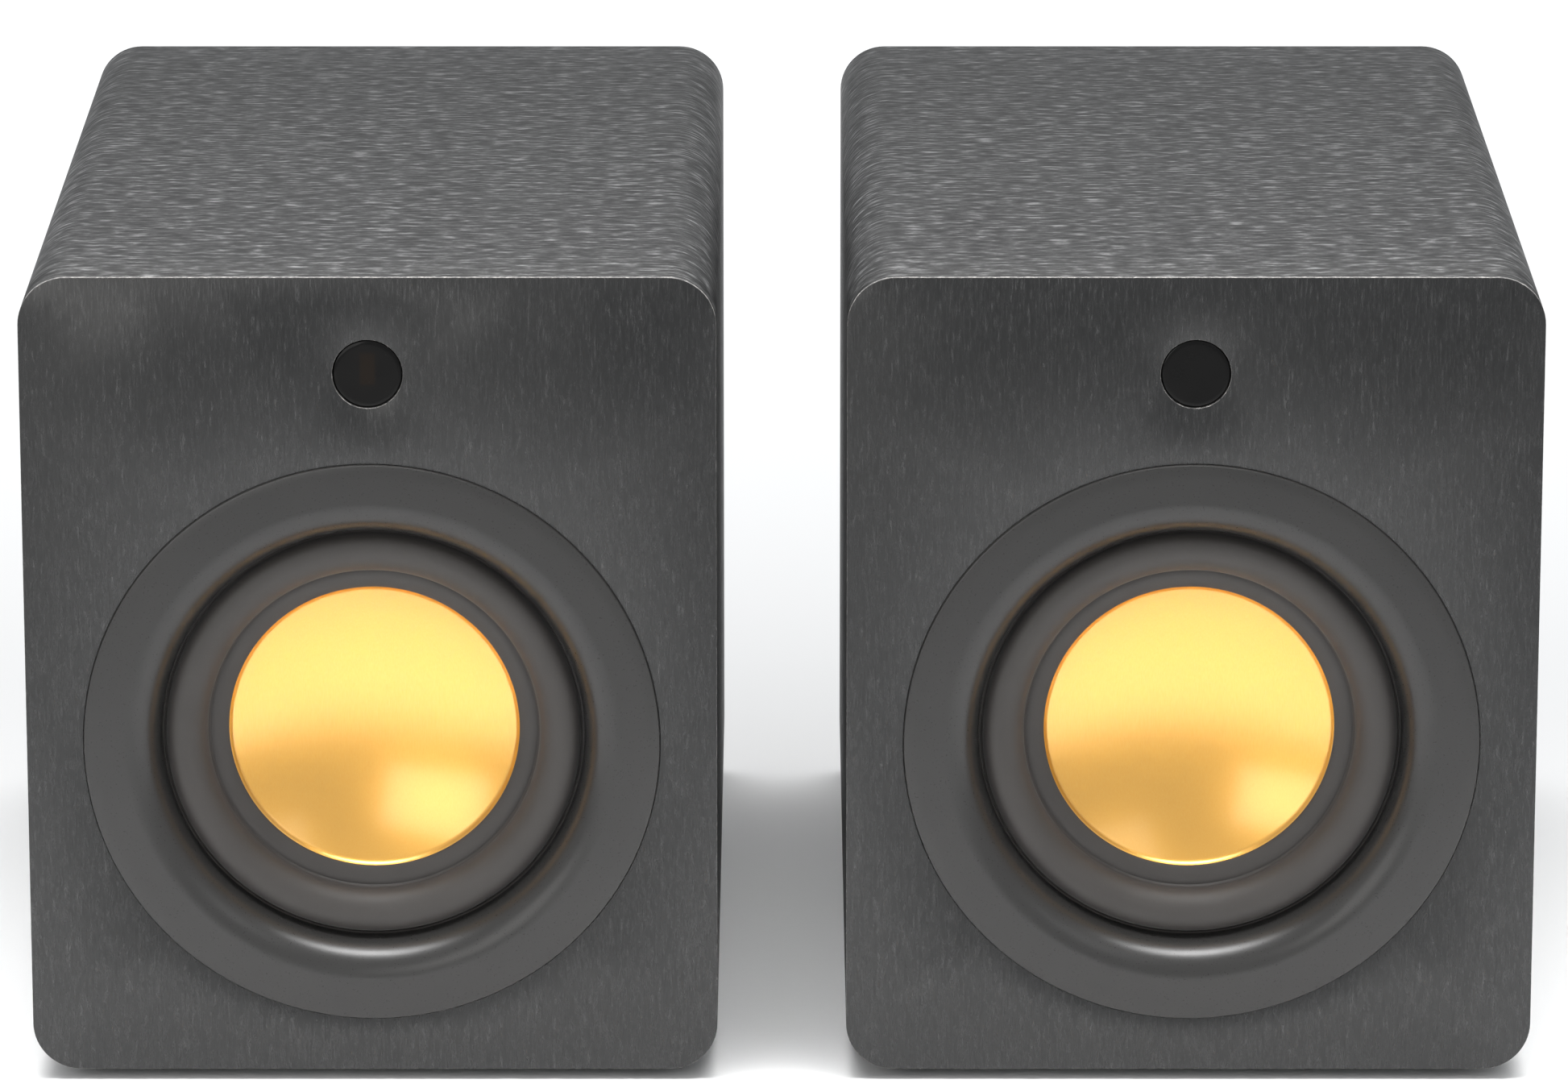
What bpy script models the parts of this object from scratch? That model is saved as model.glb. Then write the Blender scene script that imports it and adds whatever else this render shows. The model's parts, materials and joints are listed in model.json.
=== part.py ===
"""A pair of desktop speakers: one active speaker with its amplifier, and one passive speaker.

Units are metres, +Z is up and the front faces -Y. Depth is measured from the front face
towards the back, and FRONT_Y is where that face lies. X = 0 is halfway between the speakers.
"""

import math

import bmesh
import bpy
from mathutils import Matrix, Vector

# ---------------------------------------------------------------- driving dimensions
CABINET_WIDTH = 0.140
CABINET_HEIGHT = 0.1665
CABINET_DEPTH = 0.224
CORNER_RADIUS = 0.0098
WALL = 0.009
INNER_CORNER_RADIUS = 0.003
SPEAKER_CLEARANCE = 0.0263  # between the two cabinets
GAP = 0.0003  # between pieces that touch
RUNNING_GAP = 0.0003  # around a piece that turns or slides

PAD_THICKNESS = 0.002
PAD_SETBACK = 0.010
PAD_CORNER_RADIUS = 0.006

FASCIA_THICKNESS = 0.001
BAFFLE_THICKNESS = 0.015
REAR_PANEL_THICKNESS = 0.012
REAR_PANEL_RECESS = 0.0045

DRIVER_HEIGHT = 0.0694  # driver axis above the cabinet's bottom
WINDOW_BELOW_TOP = 0.0199
WINDOW_RADIUS = 0.0069
WINDOW_RECESS = 0.0004
WINDOW_LENGTH = 0.0055

# The cone is the driver's first size, and the pieces round it follow outwards from it.
CONE_RIM_RADIUS = 0.0293
CONE_DISH_DEPTH = 0.0080
CONE_THICKNESS = 0.0005
CONE_BEHIND_LIP = 0.0011  # from the surround's lip back to the cone's rim

SURROUND_THICKNESS = 0.0006
SURROUND_LIP = 0.0043  # width of the part glued to the cone
SURROUND_ROLL = 0.0088  # width of the half roll
SURROUND_ROLL_HEIGHT = 0.0043
SURROUND_FLANGE = 0.0068  # width of the part clamped on the basket
SURROUND_DROP = 0.0021  # how much deeper the roll's inner root lies than its outer root
SURROUND_LIP_DROP = 0.0013

RING_WIDTH = 0.0155
RING_CLEARANCE = 0.0006  # between the surround's roll and the ring's inner edge
RING_ROLL = 0.0075  # width of the rounded inner edge
RING_ROLL_DEPTH = 0.0090
RING_PROUD = 0.0006
RING_THICKNESS = 0.0016
RING_CHAMFER = 0.0004

BASKET_LAP = 0.0085  # how far the basket reaches beyond the ring's inner edge
BASKET_THROAT = 0.0018  # from the ring's inner edge out to the basket's wall
BASKET_THICKNESS = 0.0020
BASKET_DEPTH = 0.0269  # from its flange to its base
BASKET_FOOT = 0.0095  # from the coil out to the base's inner edge
BASKET_WINDOWS = 6
BASKET_WINDOW_WIDTH = 0.027
SPIDER_DEPTH = 0.0185  # from the flange to the spider
SPIDER_BEYOND_CONE = 0.0047
SPIDER_LEDGE = 0.003  # width of the part glued to the basket
SPIDER_WAVE = 0.0007
SPIDER_THICKNESS = 0.0004

COIL_RADIUS = 0.0125  # inside of the voice coil's bobbin
BOBBIN_THICKNESS = 0.0004
WINDING_THICKNESS = 0.0005
WINDING_LENGTH = 0.0104
MAGNET_GAP = 0.0005  # between the coil and the iron on each side
TOP_PLATE_THICKNESS = 0.005
IRON_RADIUS = 0.036
MAGNET_RADIUS = 0.038
MAGNET_CLEARANCE = 0.0011  # between the top plate's bore and the magnet's wider bore
MAGNET_THICKNESS = 0.015
BACK_PLATE_THICKNESS = 0.005

PORT_RADIUS = 0.0155
PORT_WALL = 0.0020
PORT_LENGTH = 0.085
PORT_FLANGE = 0.005  # how far the flange reaches beyond the tube's wall
PORT_MARGIN = 0.0025  # between the flange and the cabinet's top wall
PORT_FLARE = 0.004

PLATE_THICKNESS = 0.002
PLATE_BELOW_PORT = 0.004  # between the port's flange and the amplifier plate
PLATE_CORNER_RADIUS = 0.004
PLATE_LAP = 0.006  # how far a plate covers the rear panel around its cutout
AMP_PLATE_SIZE = (0.112, 0.092)
TERMINAL_PLATE_SIZE = (0.070, 0.060)

BOARD_STANDOFF = 0.020
BOARD_THICKNESS = 0.0016
BOARD_MARGIN = 0.002  # between the board and the rear panel's cutout

POST_SPACING = 0.019
POST_STUD_RADIUS = 0.0029
POST_SOCKET_RADIUS = 0.0020
POST_TAIL_RADIUS = 0.0020
POST_TAIL = 0.010
POST_COLLAR_RADIUS = 0.0065
POST_COLLAR = 0.0035
POST_LENGTH = 0.0166
WASHER_RADIUS = 0.0058
WASHER_THICKNESS = 0.0010
NUT_RADIUS = 0.0066
NUT_LENGTH = 0.0100
NUT_SIDES = 12

# Controls on the amplifier plate, as (x, z) from the plate's centre.
VOLUME_AT = (-0.034, 0.023)
BUTTON_AT = (-0.013, 0.026)
WHITE_JACK_AT = (0.004, 0.030)
RED_JACK_AT = (0.004, 0.014)
AUX_JACK_AT = (0.032, 0.028)
AMP_POSTS_AT = (-0.0285, -0.022)
POWER_AT = (0.028, -0.014)
TERMINAL_POSTS_AT = (0.0, -0.006)

KNOB_RADIUS = 0.011
KNOB_LENGTH = 0.014
KNOB_STANDOFF = 0.0008
SHAFT_RADIUS = 0.0030
SHAFT_REACH = 0.008  # beyond the plate, inside the knob
POT_RADIUS = 0.008
POT_LENGTH = 0.009
POT_BUSH_RADIUS = 0.005
POT_FLOOR = 0.0015

BUTTON_RADIUS = 0.0035
BUTTON_REACH = 0.003
BUTTON_FLANGE_RADIUS = 0.0045
BUTTON_FLANGE = 0.0010
BUTTON_STEM_RADIUS = 0.0015
BUTTON_TRAVEL = 0.0012

JACK_RADIUS = 0.0041
JACK_REACH = 0.0095
JACK_BORE = 0.0016
JACK_BODY_RADIUS = 0.006
AUX_RADIUS = 0.0030
AUX_REACH = 0.0015
AUX_BORE = 0.0018
AUX_BODY_RADIUS = 0.005
JACK_SOCKET_DEPTH = 0.008

MODULE_BODY = (0.027, 0.018, 0.040)  # x, depth, z behind the plate
MODULE_LAP = 0.0025
MODULE_FACE = 0.0018
INLET_SIZE = (0.015, 0.0085)
INLET_DEPTH = 0.013
INLET_CORNER = 0.0035
INLET_OFFSET = -0.012
PIN_RADIUS = 0.0012
PIN_SPACING = 0.0086
PIN_LENGTH = 0.009
ROCKER_SIZE = (0.0124, 0.018)
ROCKER_OFFSET = 0.0075
ROCKER_TILT = math.radians(10)
ROCKER_SINK = 0.0012  # pivot below the module's face
ROCKER_BELOW = 0.003
ROCKER_WING = 0.0042
ROCKER_MIDDLE = 0.0028
ROCKER_SWING_GAP = 0.0009
ROCKER_WELL = 0.0075

TRANSFORMER_RADIUS = 0.030
TRANSFORMER_BORE = 0.012
TRANSFORMER_HEIGHT = 0.026
TRANSFORMER_CLEARANCE = 0.0109  # between it and the heat sink
HEAT_SINK_WIDTH = 0.060
HEAT_SINK_HEIGHT = 0.030
HEAT_SINK_DEPTH = 0.022
HEAT_SINK_BASE = 0.004
HEAT_SINK_FINS = 9
HEAT_SINK_FIN = 0.0016

RECEIVER_SIZE = (0.0046, 0.004, 0.0066)
RECEIVER_RAISE = 0.0010
LED_RADIUS = 0.0012
LED_LENGTH = 0.004
LED_DROP = 0.0046

LARGE_SEGMENTS = 32
MEDIUM_SEGMENTS = 24
SMALL_SEGMENTS = 20
TINY_SEGMENTS = 12
ROLL_SPANS = 6
CUTTER_OVERRUN = 0.002

# ---------------------------------------------------------------- derived positions
BOTTOM_Z = PAD_THICKNESS + GAP
TOP_Z = BOTTOM_Z + CABINET_HEIGHT
SPEAKER_SPACING = CABINET_WIDTH + SPEAKER_CLEARANCE
REAR_FACE = CABINET_DEPTH - REAR_PANEL_RECESS
PLATE_BACK = REAR_FACE + GAP  # the plates' hidden side
PLATE_FACE = PLATE_BACK + PLATE_THICKNESS
FRONT_Y = RING_PROUD - (RING_PROUD + PLATE_FACE + POST_LENGTH) / 2
DRIVER_Z = BOTTOM_Z + DRIVER_HEIGHT
WINDOW_Z = TOP_Z - WINDOW_BELOW_TOP
PORT_FLANGE_RADIUS = PORT_RADIUS + PORT_WALL + PORT_FLANGE
PORT_Z = TOP_Z - WALL - PORT_MARGIN - PORT_FLANGE_RADIUS
PLATE_Z = PORT_Z - PORT_FLANGE_RADIUS - PLATE_BELOW_PORT - AMP_PLATE_SIZE[1] / 2
BODY_FRONT = FASCIA_THICKNESS + GAP
BAFFLE_BACK = BODY_FRONT + BAFFLE_THICKNESS

ROLL_INNER_RADIUS = CONE_RIM_RADIUS + SURROUND_LIP
ROLL_OUTER_RADIUS = ROLL_INNER_RADIUS + SURROUND_ROLL
SURROUND_RADIUS = ROLL_OUTER_RADIUS + SURROUND_FLANGE
RING_LIP_RADIUS = ROLL_OUTER_RADIUS + RING_CLEARANCE
RING_RADIUS = RING_LIP_RADIUS + RING_WIDTH
BASKET_RADIUS = RING_LIP_RADIUS + BASKET_LAP
BASKET_THROAT_RADIUS = RING_LIP_RADIUS + BASKET_THROAT
SPIDER_RADIUS = CONE_RIM_RADIUS + SPIDER_BEYOND_CONE

RING_LIP_DEPTH = RING_ROLL_DEPTH - RING_PROUD
SURROUND_DEPTH = RING_LIP_DEPTH + GAP + SURROUND_THICKNESS / 2
SURROUND_LIP_DEPTH = SURROUND_DEPTH + SURROUND_DROP + SURROUND_LIP_DROP
CONE_RIM_DEPTH = SURROUND_LIP_DEPTH + CONE_BEHIND_LIP
BASKET_FLANGE_DEPTH = SURROUND_DEPTH + SURROUND_THICKNESS / 2 + GAP + BASKET_THICKNESS / 2
REBATE_FLOOR = BASKET_FLANGE_DEPTH + BASKET_THICKNESS / 2 + GAP
BASKET_BASE_DEPTH = BASKET_FLANGE_DEPTH + BASKET_DEPTH
TOP_PLATE_DEPTH = BASKET_BASE_DEPTH + BASKET_THICKNESS / 2 + GAP
MAGNET_DEPTH = TOP_PLATE_DEPTH + TOP_PLATE_THICKNESS + GAP
BACK_PLATE_DEPTH = MAGNET_DEPTH + MAGNET_THICKNESS + GAP

BOARD_FACE = PLATE_BACK - BOARD_STANDOFF
HEAT_SINK_BACK = BOARD_FACE - BOARD_THICKNESS - GAP
TRANSFORMER_BACK = HEAT_SINK_BACK - HEAT_SINK_DEPTH - TRANSFORMER_CLEARANCE


def cabinet_inside():
    """Width and height of the space inside the cabinet's walls."""
    return CABINET_WIDTH - 2 * WALL, CABINET_HEIGHT - 2 * WALL


def cutout_size(plate_size):
    """The rear panel's cutout behind a plate, smaller than the plate by its lap."""
    return plate_size[0] - 2 * PLATE_LAP, plate_size[1] - 2 * PLATE_LAP


# ---------------------------------------------------------------- modelling tools
for leftover in list(bpy.data.objects):
    bpy.data.objects.remove(leftover)

PARTS = bpy.data.collections.new("desktop_speakers")
CUTTERS = bpy.data.collections.new("cutters")
bpy.context.scene.collection.children.link(PARTS)
bpy.context.scene.collection.children.link(CUTTERS)


def material(name, colour, roughness, metallic=0.0):
    made = bpy.data.materials.new(name)
    made.use_nodes = True
    shader = made.node_tree.nodes["Principled BSDF"]
    shader.inputs["Base Color"].default_value = (*colour, 1)
    shader.inputs["Roughness"].default_value = roughness
    shader.inputs["Metallic"].default_value = metallic
    return made


WRAP = material("black_wrap", (0.05, 0.05, 0.052), 0.45)
BOARD = material("bare_board", (0.20, 0.14, 0.09), 0.85)
TRIM = material("grey_trim", (0.085, 0.083, 0.08), 0.35)
RUBBER = material("black_rubber", (0.045, 0.042, 0.04), 0.6)
GOLD = material("gold_metal", (0.95, 0.68, 0.22), 0.28, 1.0)
COPPER = material("copper_winding", (0.72, 0.33, 0.16), 0.4, 1.0)
CLOTH = material("spider_cloth", (0.65, 0.42, 0.13), 0.9)
STEEL = material("plated_steel", (0.55, 0.55, 0.56), 0.35, 1.0)
FERRITE = material("ferrite", (0.06, 0.06, 0.065), 0.7)
PLASTIC = material("black_plastic", (0.03, 0.03, 0.032), 0.45)
RED = material("red_plastic", (0.55, 0.02, 0.02), 0.4)
WHITE = material("white_plastic", (0.8, 0.8, 0.78), 0.4)
LENS = material("smoked_lens", (0.008, 0.008, 0.009), 0.08)
PLATE = material("black_plate", (0.04, 0.04, 0.042), 0.4, 0.6)
CIRCUIT = material("circuit_board", (0.02, 0.12, 0.05), 0.5)
FOAM = material("foam_pad", (0.02, 0.02, 0.02), 0.95)
ALUMINIUM = material("aluminium", (0.7, 0.7, 0.72), 0.35, 1.0)


def add_object(name, mesh, collection, location=(0, 0, 0), rotation=(0, 0, 0)):
    made = bpy.data.objects.new(name, mesh)
    made.location = location
    made.rotation_euler = rotation
    collection.objects.link(made)
    return made


def finish_part(made, finish):
    made.data.materials.append(finish)
    return made


def as_cutter(made):
    made.hide_render = True
    made.display_type = "WIRE"
    return made


def combine(target, other, operation="DIFFERENCE"):
    """A Boolean on the target. The other object becomes a hidden helper."""
    step = target.modifiers.new(other.name, "BOOLEAN")
    step.operation = operation
    step.object = other
    as_cutter(other)
    return target


def profile_mesh(name, profile, closed):
    """Edges through (radius, depth) points. Depth runs along local -Z."""
    mesh = bmesh.new()
    points = [mesh.verts.new((radius, 0, -depth)) for radius, depth in profile]
    for first, second in zip(points, points[1:]):
        mesh.edges.new((first, second))
    if closed:
        mesh.edges.new((points[-1], points[0]))
    data = bpy.data.meshes.new(name)
    mesh.to_mesh(data)
    mesh.free()
    return data


def add_screw(made, segments):
    step = made.modifiers.new("turn", "SCREW")
    step.axis = "Z"
    step.steps = step.render_steps = segments
    step.use_merge_vertices = True
    step.merge_threshold = 0.00001
    step.use_smooth_shade = True
    return step


def turned(name, profile, x, z, finish, segments=LARGE_SEGMENTS, collection=PARTS):
    """A piece turned about the Y axis through (x, z), from (radius, depth) points.

    The profile runs from front to back on its outer side. It is closed unless it
    starts and ends on the axis.
    """
    closed = profile[0][0] > 0 or profile[-1][0] > 0
    data = profile_mesh(name, profile, closed)
    made = add_object(name, data, collection, (x, FRONT_Y, z), (math.pi / 2, 0, 0))
    add_screw(made, segments)
    return finish_part(made, finish) if finish else made


def turned_sheet(name, centreline, thickness, x, z, finish, segments=LARGE_SEGMENTS):
    """A thin turned piece: a centreline of (radius, depth) points given a thickness."""
    data = profile_mesh(name, centreline, False)
    made = add_object(name, data, PARTS, (x, FRONT_Y, z), (math.pi / 2, 0, 0))
    add_screw(made, segments)
    step = made.modifiers.new("thickness", "SOLIDIFY")
    step.thickness = thickness
    step.offset = 0
    step.use_even_offset = True
    return finish_part(made, finish)


def block(name, low, high, corner, finish, along="Y", segments=5, collection=PARTS):
    """A box between two corners, given as (x, depth, z), its edges along one axis rounded."""
    low = Vector((low[0], FRONT_Y + low[1], low[2]))
    high = Vector((high[0], FRONT_Y + high[1], high[2]))
    mesh = bmesh.new()
    bmesh.ops.create_cube(mesh, size=1)
    bmesh.ops.scale(mesh, vec=high - low, verts=mesh.verts)
    if corner:
        axis = "XYZ".index(along)
        rounded = [
            edge
            for edge in mesh.edges
            if abs((edge.verts[0].co - edge.verts[1].co)[axis]) > 1e-6
        ]
        bmesh.ops.bevel(
            mesh,
            geom=rounded,
            offset=corner,
            segments=segments,
            profile=0.5,
            affect="EDGES",
        )
    data = bpy.data.meshes.new(name)
    mesh.to_mesh(data)
    mesh.free()
    made = add_object(name, data, collection, (low + high) / 2)
    return finish_part(made, finish) if finish else made


def drills(name, holes, start, end, segments=SMALL_SEGMENTS):
    """Round cutters along Y in one helper, from (x, z, radius) holes."""
    mesh = bmesh.new()
    length = end - start
    for x, z, radius in holes:
        place = Matrix.Translation((x, FRONT_Y + start + length / 2, z))
        bmesh.ops.create_cone(
            mesh,
            cap_ends=True,
            segments=segments,
            radius1=radius,
            radius2=radius,
            depth=length,
            matrix=place @ Matrix.Rotation(math.pi / 2, 4, "X"),
        )
    data = bpy.data.meshes.new(name)
    mesh.to_mesh(data)
    mesh.free()
    return add_object(name, data, CUTTERS)


def outline(name, points, thickness, location, rotation, finish):
    """A flat closed outline of (x, y) points, extruded along its own Z."""
    curve = bpy.data.curves.new(name, "CURVE")
    curve.dimensions = "2D"
    curve.fill_mode = "BOTH"
    curve.extrude = thickness / 2
    spline = curve.splines.new("POLY")
    spline.points.add(len(points) - 1)
    for point, (x, y) in zip(spline.points, points):
        point.co = (x, y, 0, 1)
    spline.use_cyclic_u = True
    made = add_object(name, curve, PARTS, location, rotation)
    return finish_part(made, finish)


# ---------------------------------------------------------------- cabinet
def add_cabinet(side, x):
    """The wrapped tube of top, bottom and sides, open at the front and back."""
    half_width, inner_width = CABINET_WIDTH / 2, cabinet_inside()[0] / 2
    cabinet = block(
        f"{side}_cabinet",
        (x - half_width, BODY_FRONT, BOTTOM_Z),
        (x + half_width, CABINET_DEPTH, TOP_Z),
        CORNER_RADIUS,
        WRAP,
    )
    hollow = block(
        f"cut_{side}_cabinet",
        (x - inner_width, BODY_FRONT - CUTTER_OVERRUN, BOTTOM_Z + WALL),
        (x + inner_width, CABINET_DEPTH + CUTTER_OVERRUN, TOP_Z - WALL),
        INNER_CORNER_RADIUS,
        None,
        segments=2,
        collection=CUTTERS,
    )
    combine(cabinet, hollow)


def inset_panel(name, x, front, back, finish=BOARD):
    """A board that fits inside the cabinet's walls."""
    width, height = cabinet_inside()
    return block(
        name,
        (x - width / 2 + GAP, front, BOTTOM_Z + WALL + GAP),
        (x + width / 2 - GAP, back, BOTTOM_Z + WALL + height - GAP),
        INNER_CORNER_RADIUS,
        finish,
        segments=2,
    )


def add_fascia(side, x):
    """The thin front sheet, as large as the cabinet's outline."""
    fascia = block(
        f"{side}_front_fascia",
        (x - CABINET_WIDTH / 2, 0, BOTTOM_Z),
        (x + CABINET_WIDTH / 2, FASCIA_THICKNESS, TOP_Z),
        CORNER_RADIUS,
        WRAP,
    )
    ends = (-CUTTER_OVERRUN, FASCIA_THICKNESS + CUTTER_OVERRUN)
    ring_hole = [(x, DRIVER_Z, RING_RADIUS + GAP)]
    lens_hole = [(x, WINDOW_Z, WINDOW_RADIUS + GAP)]
    combine(fascia, drills(f"cut_{side}_fascia_ring", ring_hole, *ends, LARGE_SEGMENTS))
    combine(fascia, drills(f"cut_{side}_fascia_lens", lens_hole, *ends))


def add_baffle(side, x):
    """The board behind the front sheet that carries the driver."""
    baffle = inset_panel(f"{side}_front_baffle", x, BODY_FRONT, BAFFLE_BACK)
    rebate = [(x, DRIVER_Z, BASKET_RADIUS + GAP)]
    throat = [(x, DRIVER_Z, BASKET_THROAT_RADIUS + BASKET_THICKNESS)]
    window = [(x, WINDOW_Z, WINDOW_RADIUS + GAP)]
    start, end = BODY_FRONT - CUTTER_OVERRUN, BAFFLE_BACK + CUTTER_OVERRUN
    name = f"cut_{side}_baffle"
    combine(baffle, drills(f"{name}_rebate", rebate, start, REBATE_FLOOR, LARGE_SEGMENTS))
    combine(baffle, drills(f"{name}_throat", throat, start, end, LARGE_SEGMENTS))
    combine(baffle, drills(f"{name}_window", window, start, end))


def add_rear_panel(side, x, plate_size):
    """The rear board, with the port's hole and the cutout behind the plate."""
    front = REAR_FACE - REAR_PANEL_THICKNESS
    panel = inset_panel(f"{side}_rear_panel", x, front, REAR_FACE)
    ends = (front - CUTTER_OVERRUN, REAR_FACE + CUTTER_OVERRUN)
    port = [(x, PORT_Z, PORT_RADIUS + PORT_WALL + GAP)]
    combine(panel, drills(f"cut_{side}_rear_port", port, *ends, MEDIUM_SEGMENTS))
    width, height = cutout_size(plate_size)
    cutout = block(
        f"cut_{side}_rear_plate",
        (x - width / 2, ends[0], PLATE_Z - height / 2),
        (x + width / 2, ends[1], PLATE_Z + height / 2),
        0,
        None,
        collection=CUTTERS,
    )
    combine(panel, cutout)


def add_window(side, x):
    profile = [
        (0, WINDOW_RECESS),
        (WINDOW_RADIUS, WINDOW_RECESS),
        (WINDOW_RADIUS, WINDOW_RECESS + WINDOW_LENGTH),
        (0, WINDOW_RECESS + WINDOW_LENGTH),
    ]
    turned(f"{side}_window_lens", profile, x, WINDOW_Z, LENS, SMALL_SEGMENTS)


def add_port(side, x):
    """The flared port tube in the rear panel."""
    outer = PORT_RADIUS + PORT_WALL
    mouth = PLATE_FACE
    inner_end = REAR_FACE - PORT_LENGTH
    flare = [
        (
            PORT_RADIUS + PORT_FLARE * (1 - math.cos(angle)),
            mouth - PORT_FLARE + PORT_FLARE * math.sin(angle),
        )
        for angle in (math.pi / 2, math.pi / 3, math.pi / 6, 0)
    ]
    profile = [
        (outer, inner_end),
        (outer, PLATE_BACK),
        (PORT_FLANGE_RADIUS, PLATE_BACK),
        (PORT_FLANGE_RADIUS, mouth),
        *flare,
        (PORT_RADIUS, inner_end),
    ]
    turned(f"{side}_port_tube", profile, x, PORT_Z, PLASTIC, MEDIUM_SEGMENTS)


def add_base_pad(side, x):
    block(
        f"{side}_base_pad",
        (x - CABINET_WIDTH / 2 + PAD_SETBACK, PAD_SETBACK, 0),
        (x + CABINET_WIDTH / 2 - PAD_SETBACK, CABINET_DEPTH - PAD_SETBACK, PAD_THICKNESS),
        PAD_CORNER_RADIUS,
        FOAM,
        along="Z",
        segments=3,
    )


# ---------------------------------------------------------------- driver
def arc(centre, width, depth, start, end, spans):
    """Points on an ellipse in the (radius, depth) plane. Angle 0 points to the axis."""
    step = (end - start) / spans
    angles = [start + step * i for i in range(spans + 1)]
    return [
        (centre[0] - width * math.cos(a), centre[1] - depth * math.sin(a))
        for a in angles
    ]


def add_trim_ring(side, x):
    """A flat ring whose inner edge rolls back towards the surround."""
    back = RING_THICKNESS - RING_PROUD
    roll_centre = (RING_LIP_RADIUS + RING_ROLL, RING_LIP_DEPTH)
    inside = (RING_ROLL - RING_THICKNESS, RING_ROLL_DEPTH - RING_THICKNESS)
    back_roll = arc(roll_centre, *inside, math.pi / 2, 0, 4)
    front_roll = arc(roll_centre, RING_ROLL, RING_ROLL_DEPTH, 0, math.pi / 2, 6)
    profile = [
        (RING_RADIUS - RING_CHAMFER, -RING_PROUD),
        (RING_RADIUS, -RING_PROUD + RING_CHAMFER),
        (RING_RADIUS, back),
        *back_roll,
        *front_roll,
    ]
    turned(f"{side}_trim_ring", profile, x, DRIVER_Z, TRIM)


def surround_line():
    """The surround's centreline: outer flange, half roll and the lip on the cone."""
    middle = (ROLL_OUTER_RADIUS + ROLL_INNER_RADIUS) / 2
    half = SURROUND_ROLL / 2
    roll = []
    for i in range(ROLL_SPANS + 1):
        angle = math.pi * i / ROLL_SPANS
        root = SURROUND_DEPTH + SURROUND_DROP * (1 - math.cos(angle)) / 2
        roll.append(
            (
                middle + half * math.cos(angle),
                root - SURROUND_ROLL_HEIGHT * math.sin(angle),
            )
        )
    return [
        (SURROUND_RADIUS, SURROUND_DEPTH),
        *roll,
        (CONE_RIM_RADIUS + GAP, SURROUND_LIP_DEPTH),
    ]


def dish_depth(radius):
    """Depth of the cone's dish at a radius: part of a sphere."""
    sphere = (CONE_RIM_RADIUS**2 + CONE_DISH_DEPTH**2) / (2 * CONE_DISH_DEPTH)
    sag = sphere - math.sqrt(sphere**2 - radius**2)
    return CONE_RIM_DEPTH + CONE_DISH_DEPTH - sag


def add_cone(side, x):
    """The dished metal cone, with a sloping edge behind the surround's lip."""
    edge_radius = ROLL_INNER_RADIUS - 2 * GAP
    slope = SURROUND_LIP_DROP / SURROUND_LIP
    edge_depth = CONE_RIM_DEPTH - slope * (edge_radius - CONE_RIM_RADIUS)
    rings = 4
    radii = [CONE_RIM_RADIUS * (rings - i) / rings for i in range(rings + 1)]
    line = [(edge_radius, edge_depth), *((r, dish_depth(r)) for r in radii)]
    turned_sheet(
        f"{side}_cone", line, CONE_THICKNESS, x, DRIVER_Z, GOLD, MEDIUM_SEGMENTS
    )


def add_voice_coil(side, x):
    """The bobbin with its winding, centred on the top plate at rest."""
    outer = COIL_RADIUS + BOBBIN_THICKNESS
    start = dish_depth(outer) + CONE_THICKNESS + GAP
    winding = TOP_PLATE_DEPTH + (TOP_PLATE_THICKNESS - WINDING_LENGTH) / 2
    tail = 0.0015
    profile = [
        (outer, start),
        (outer, winding),
        (outer + WINDING_THICKNESS, winding),
        (outer + WINDING_THICKNESS, winding + WINDING_LENGTH),
        (outer, winding + WINDING_LENGTH),
        (outer, winding + WINDING_LENGTH + tail),
        (COIL_RADIUS, winding + WINDING_LENGTH + tail),
        (COIL_RADIUS, start),
    ]
    turned(f"{side}_voice_coil", profile, x, DRIVER_Z, COPPER, SMALL_SEGMENTS)


def add_spider(side, x):
    """The corrugated suspension between the bobbin and the basket's ledge."""
    depth = BASKET_FLANGE_DEPTH + SPIDER_DEPTH
    inner = COIL_RADIUS + BOBBIN_THICKNESS + GAP
    ledge = SPIDER_RADIUS - SPIDER_LEDGE
    waves = 5
    line = [(SPIDER_RADIUS, depth)]
    for i in range(waves + 1):
        radius = ledge + (inner - ledge) * i / waves
        swing = 0 if i in (0, waves) else SPIDER_WAVE * (-1) ** i
        line.append((radius, depth + swing))
    turned_sheet(
        f"{side}_spider", line, SPIDER_THICKNESS, x, DRIVER_Z, CLOTH, SMALL_SEGMENTS
    )


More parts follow.
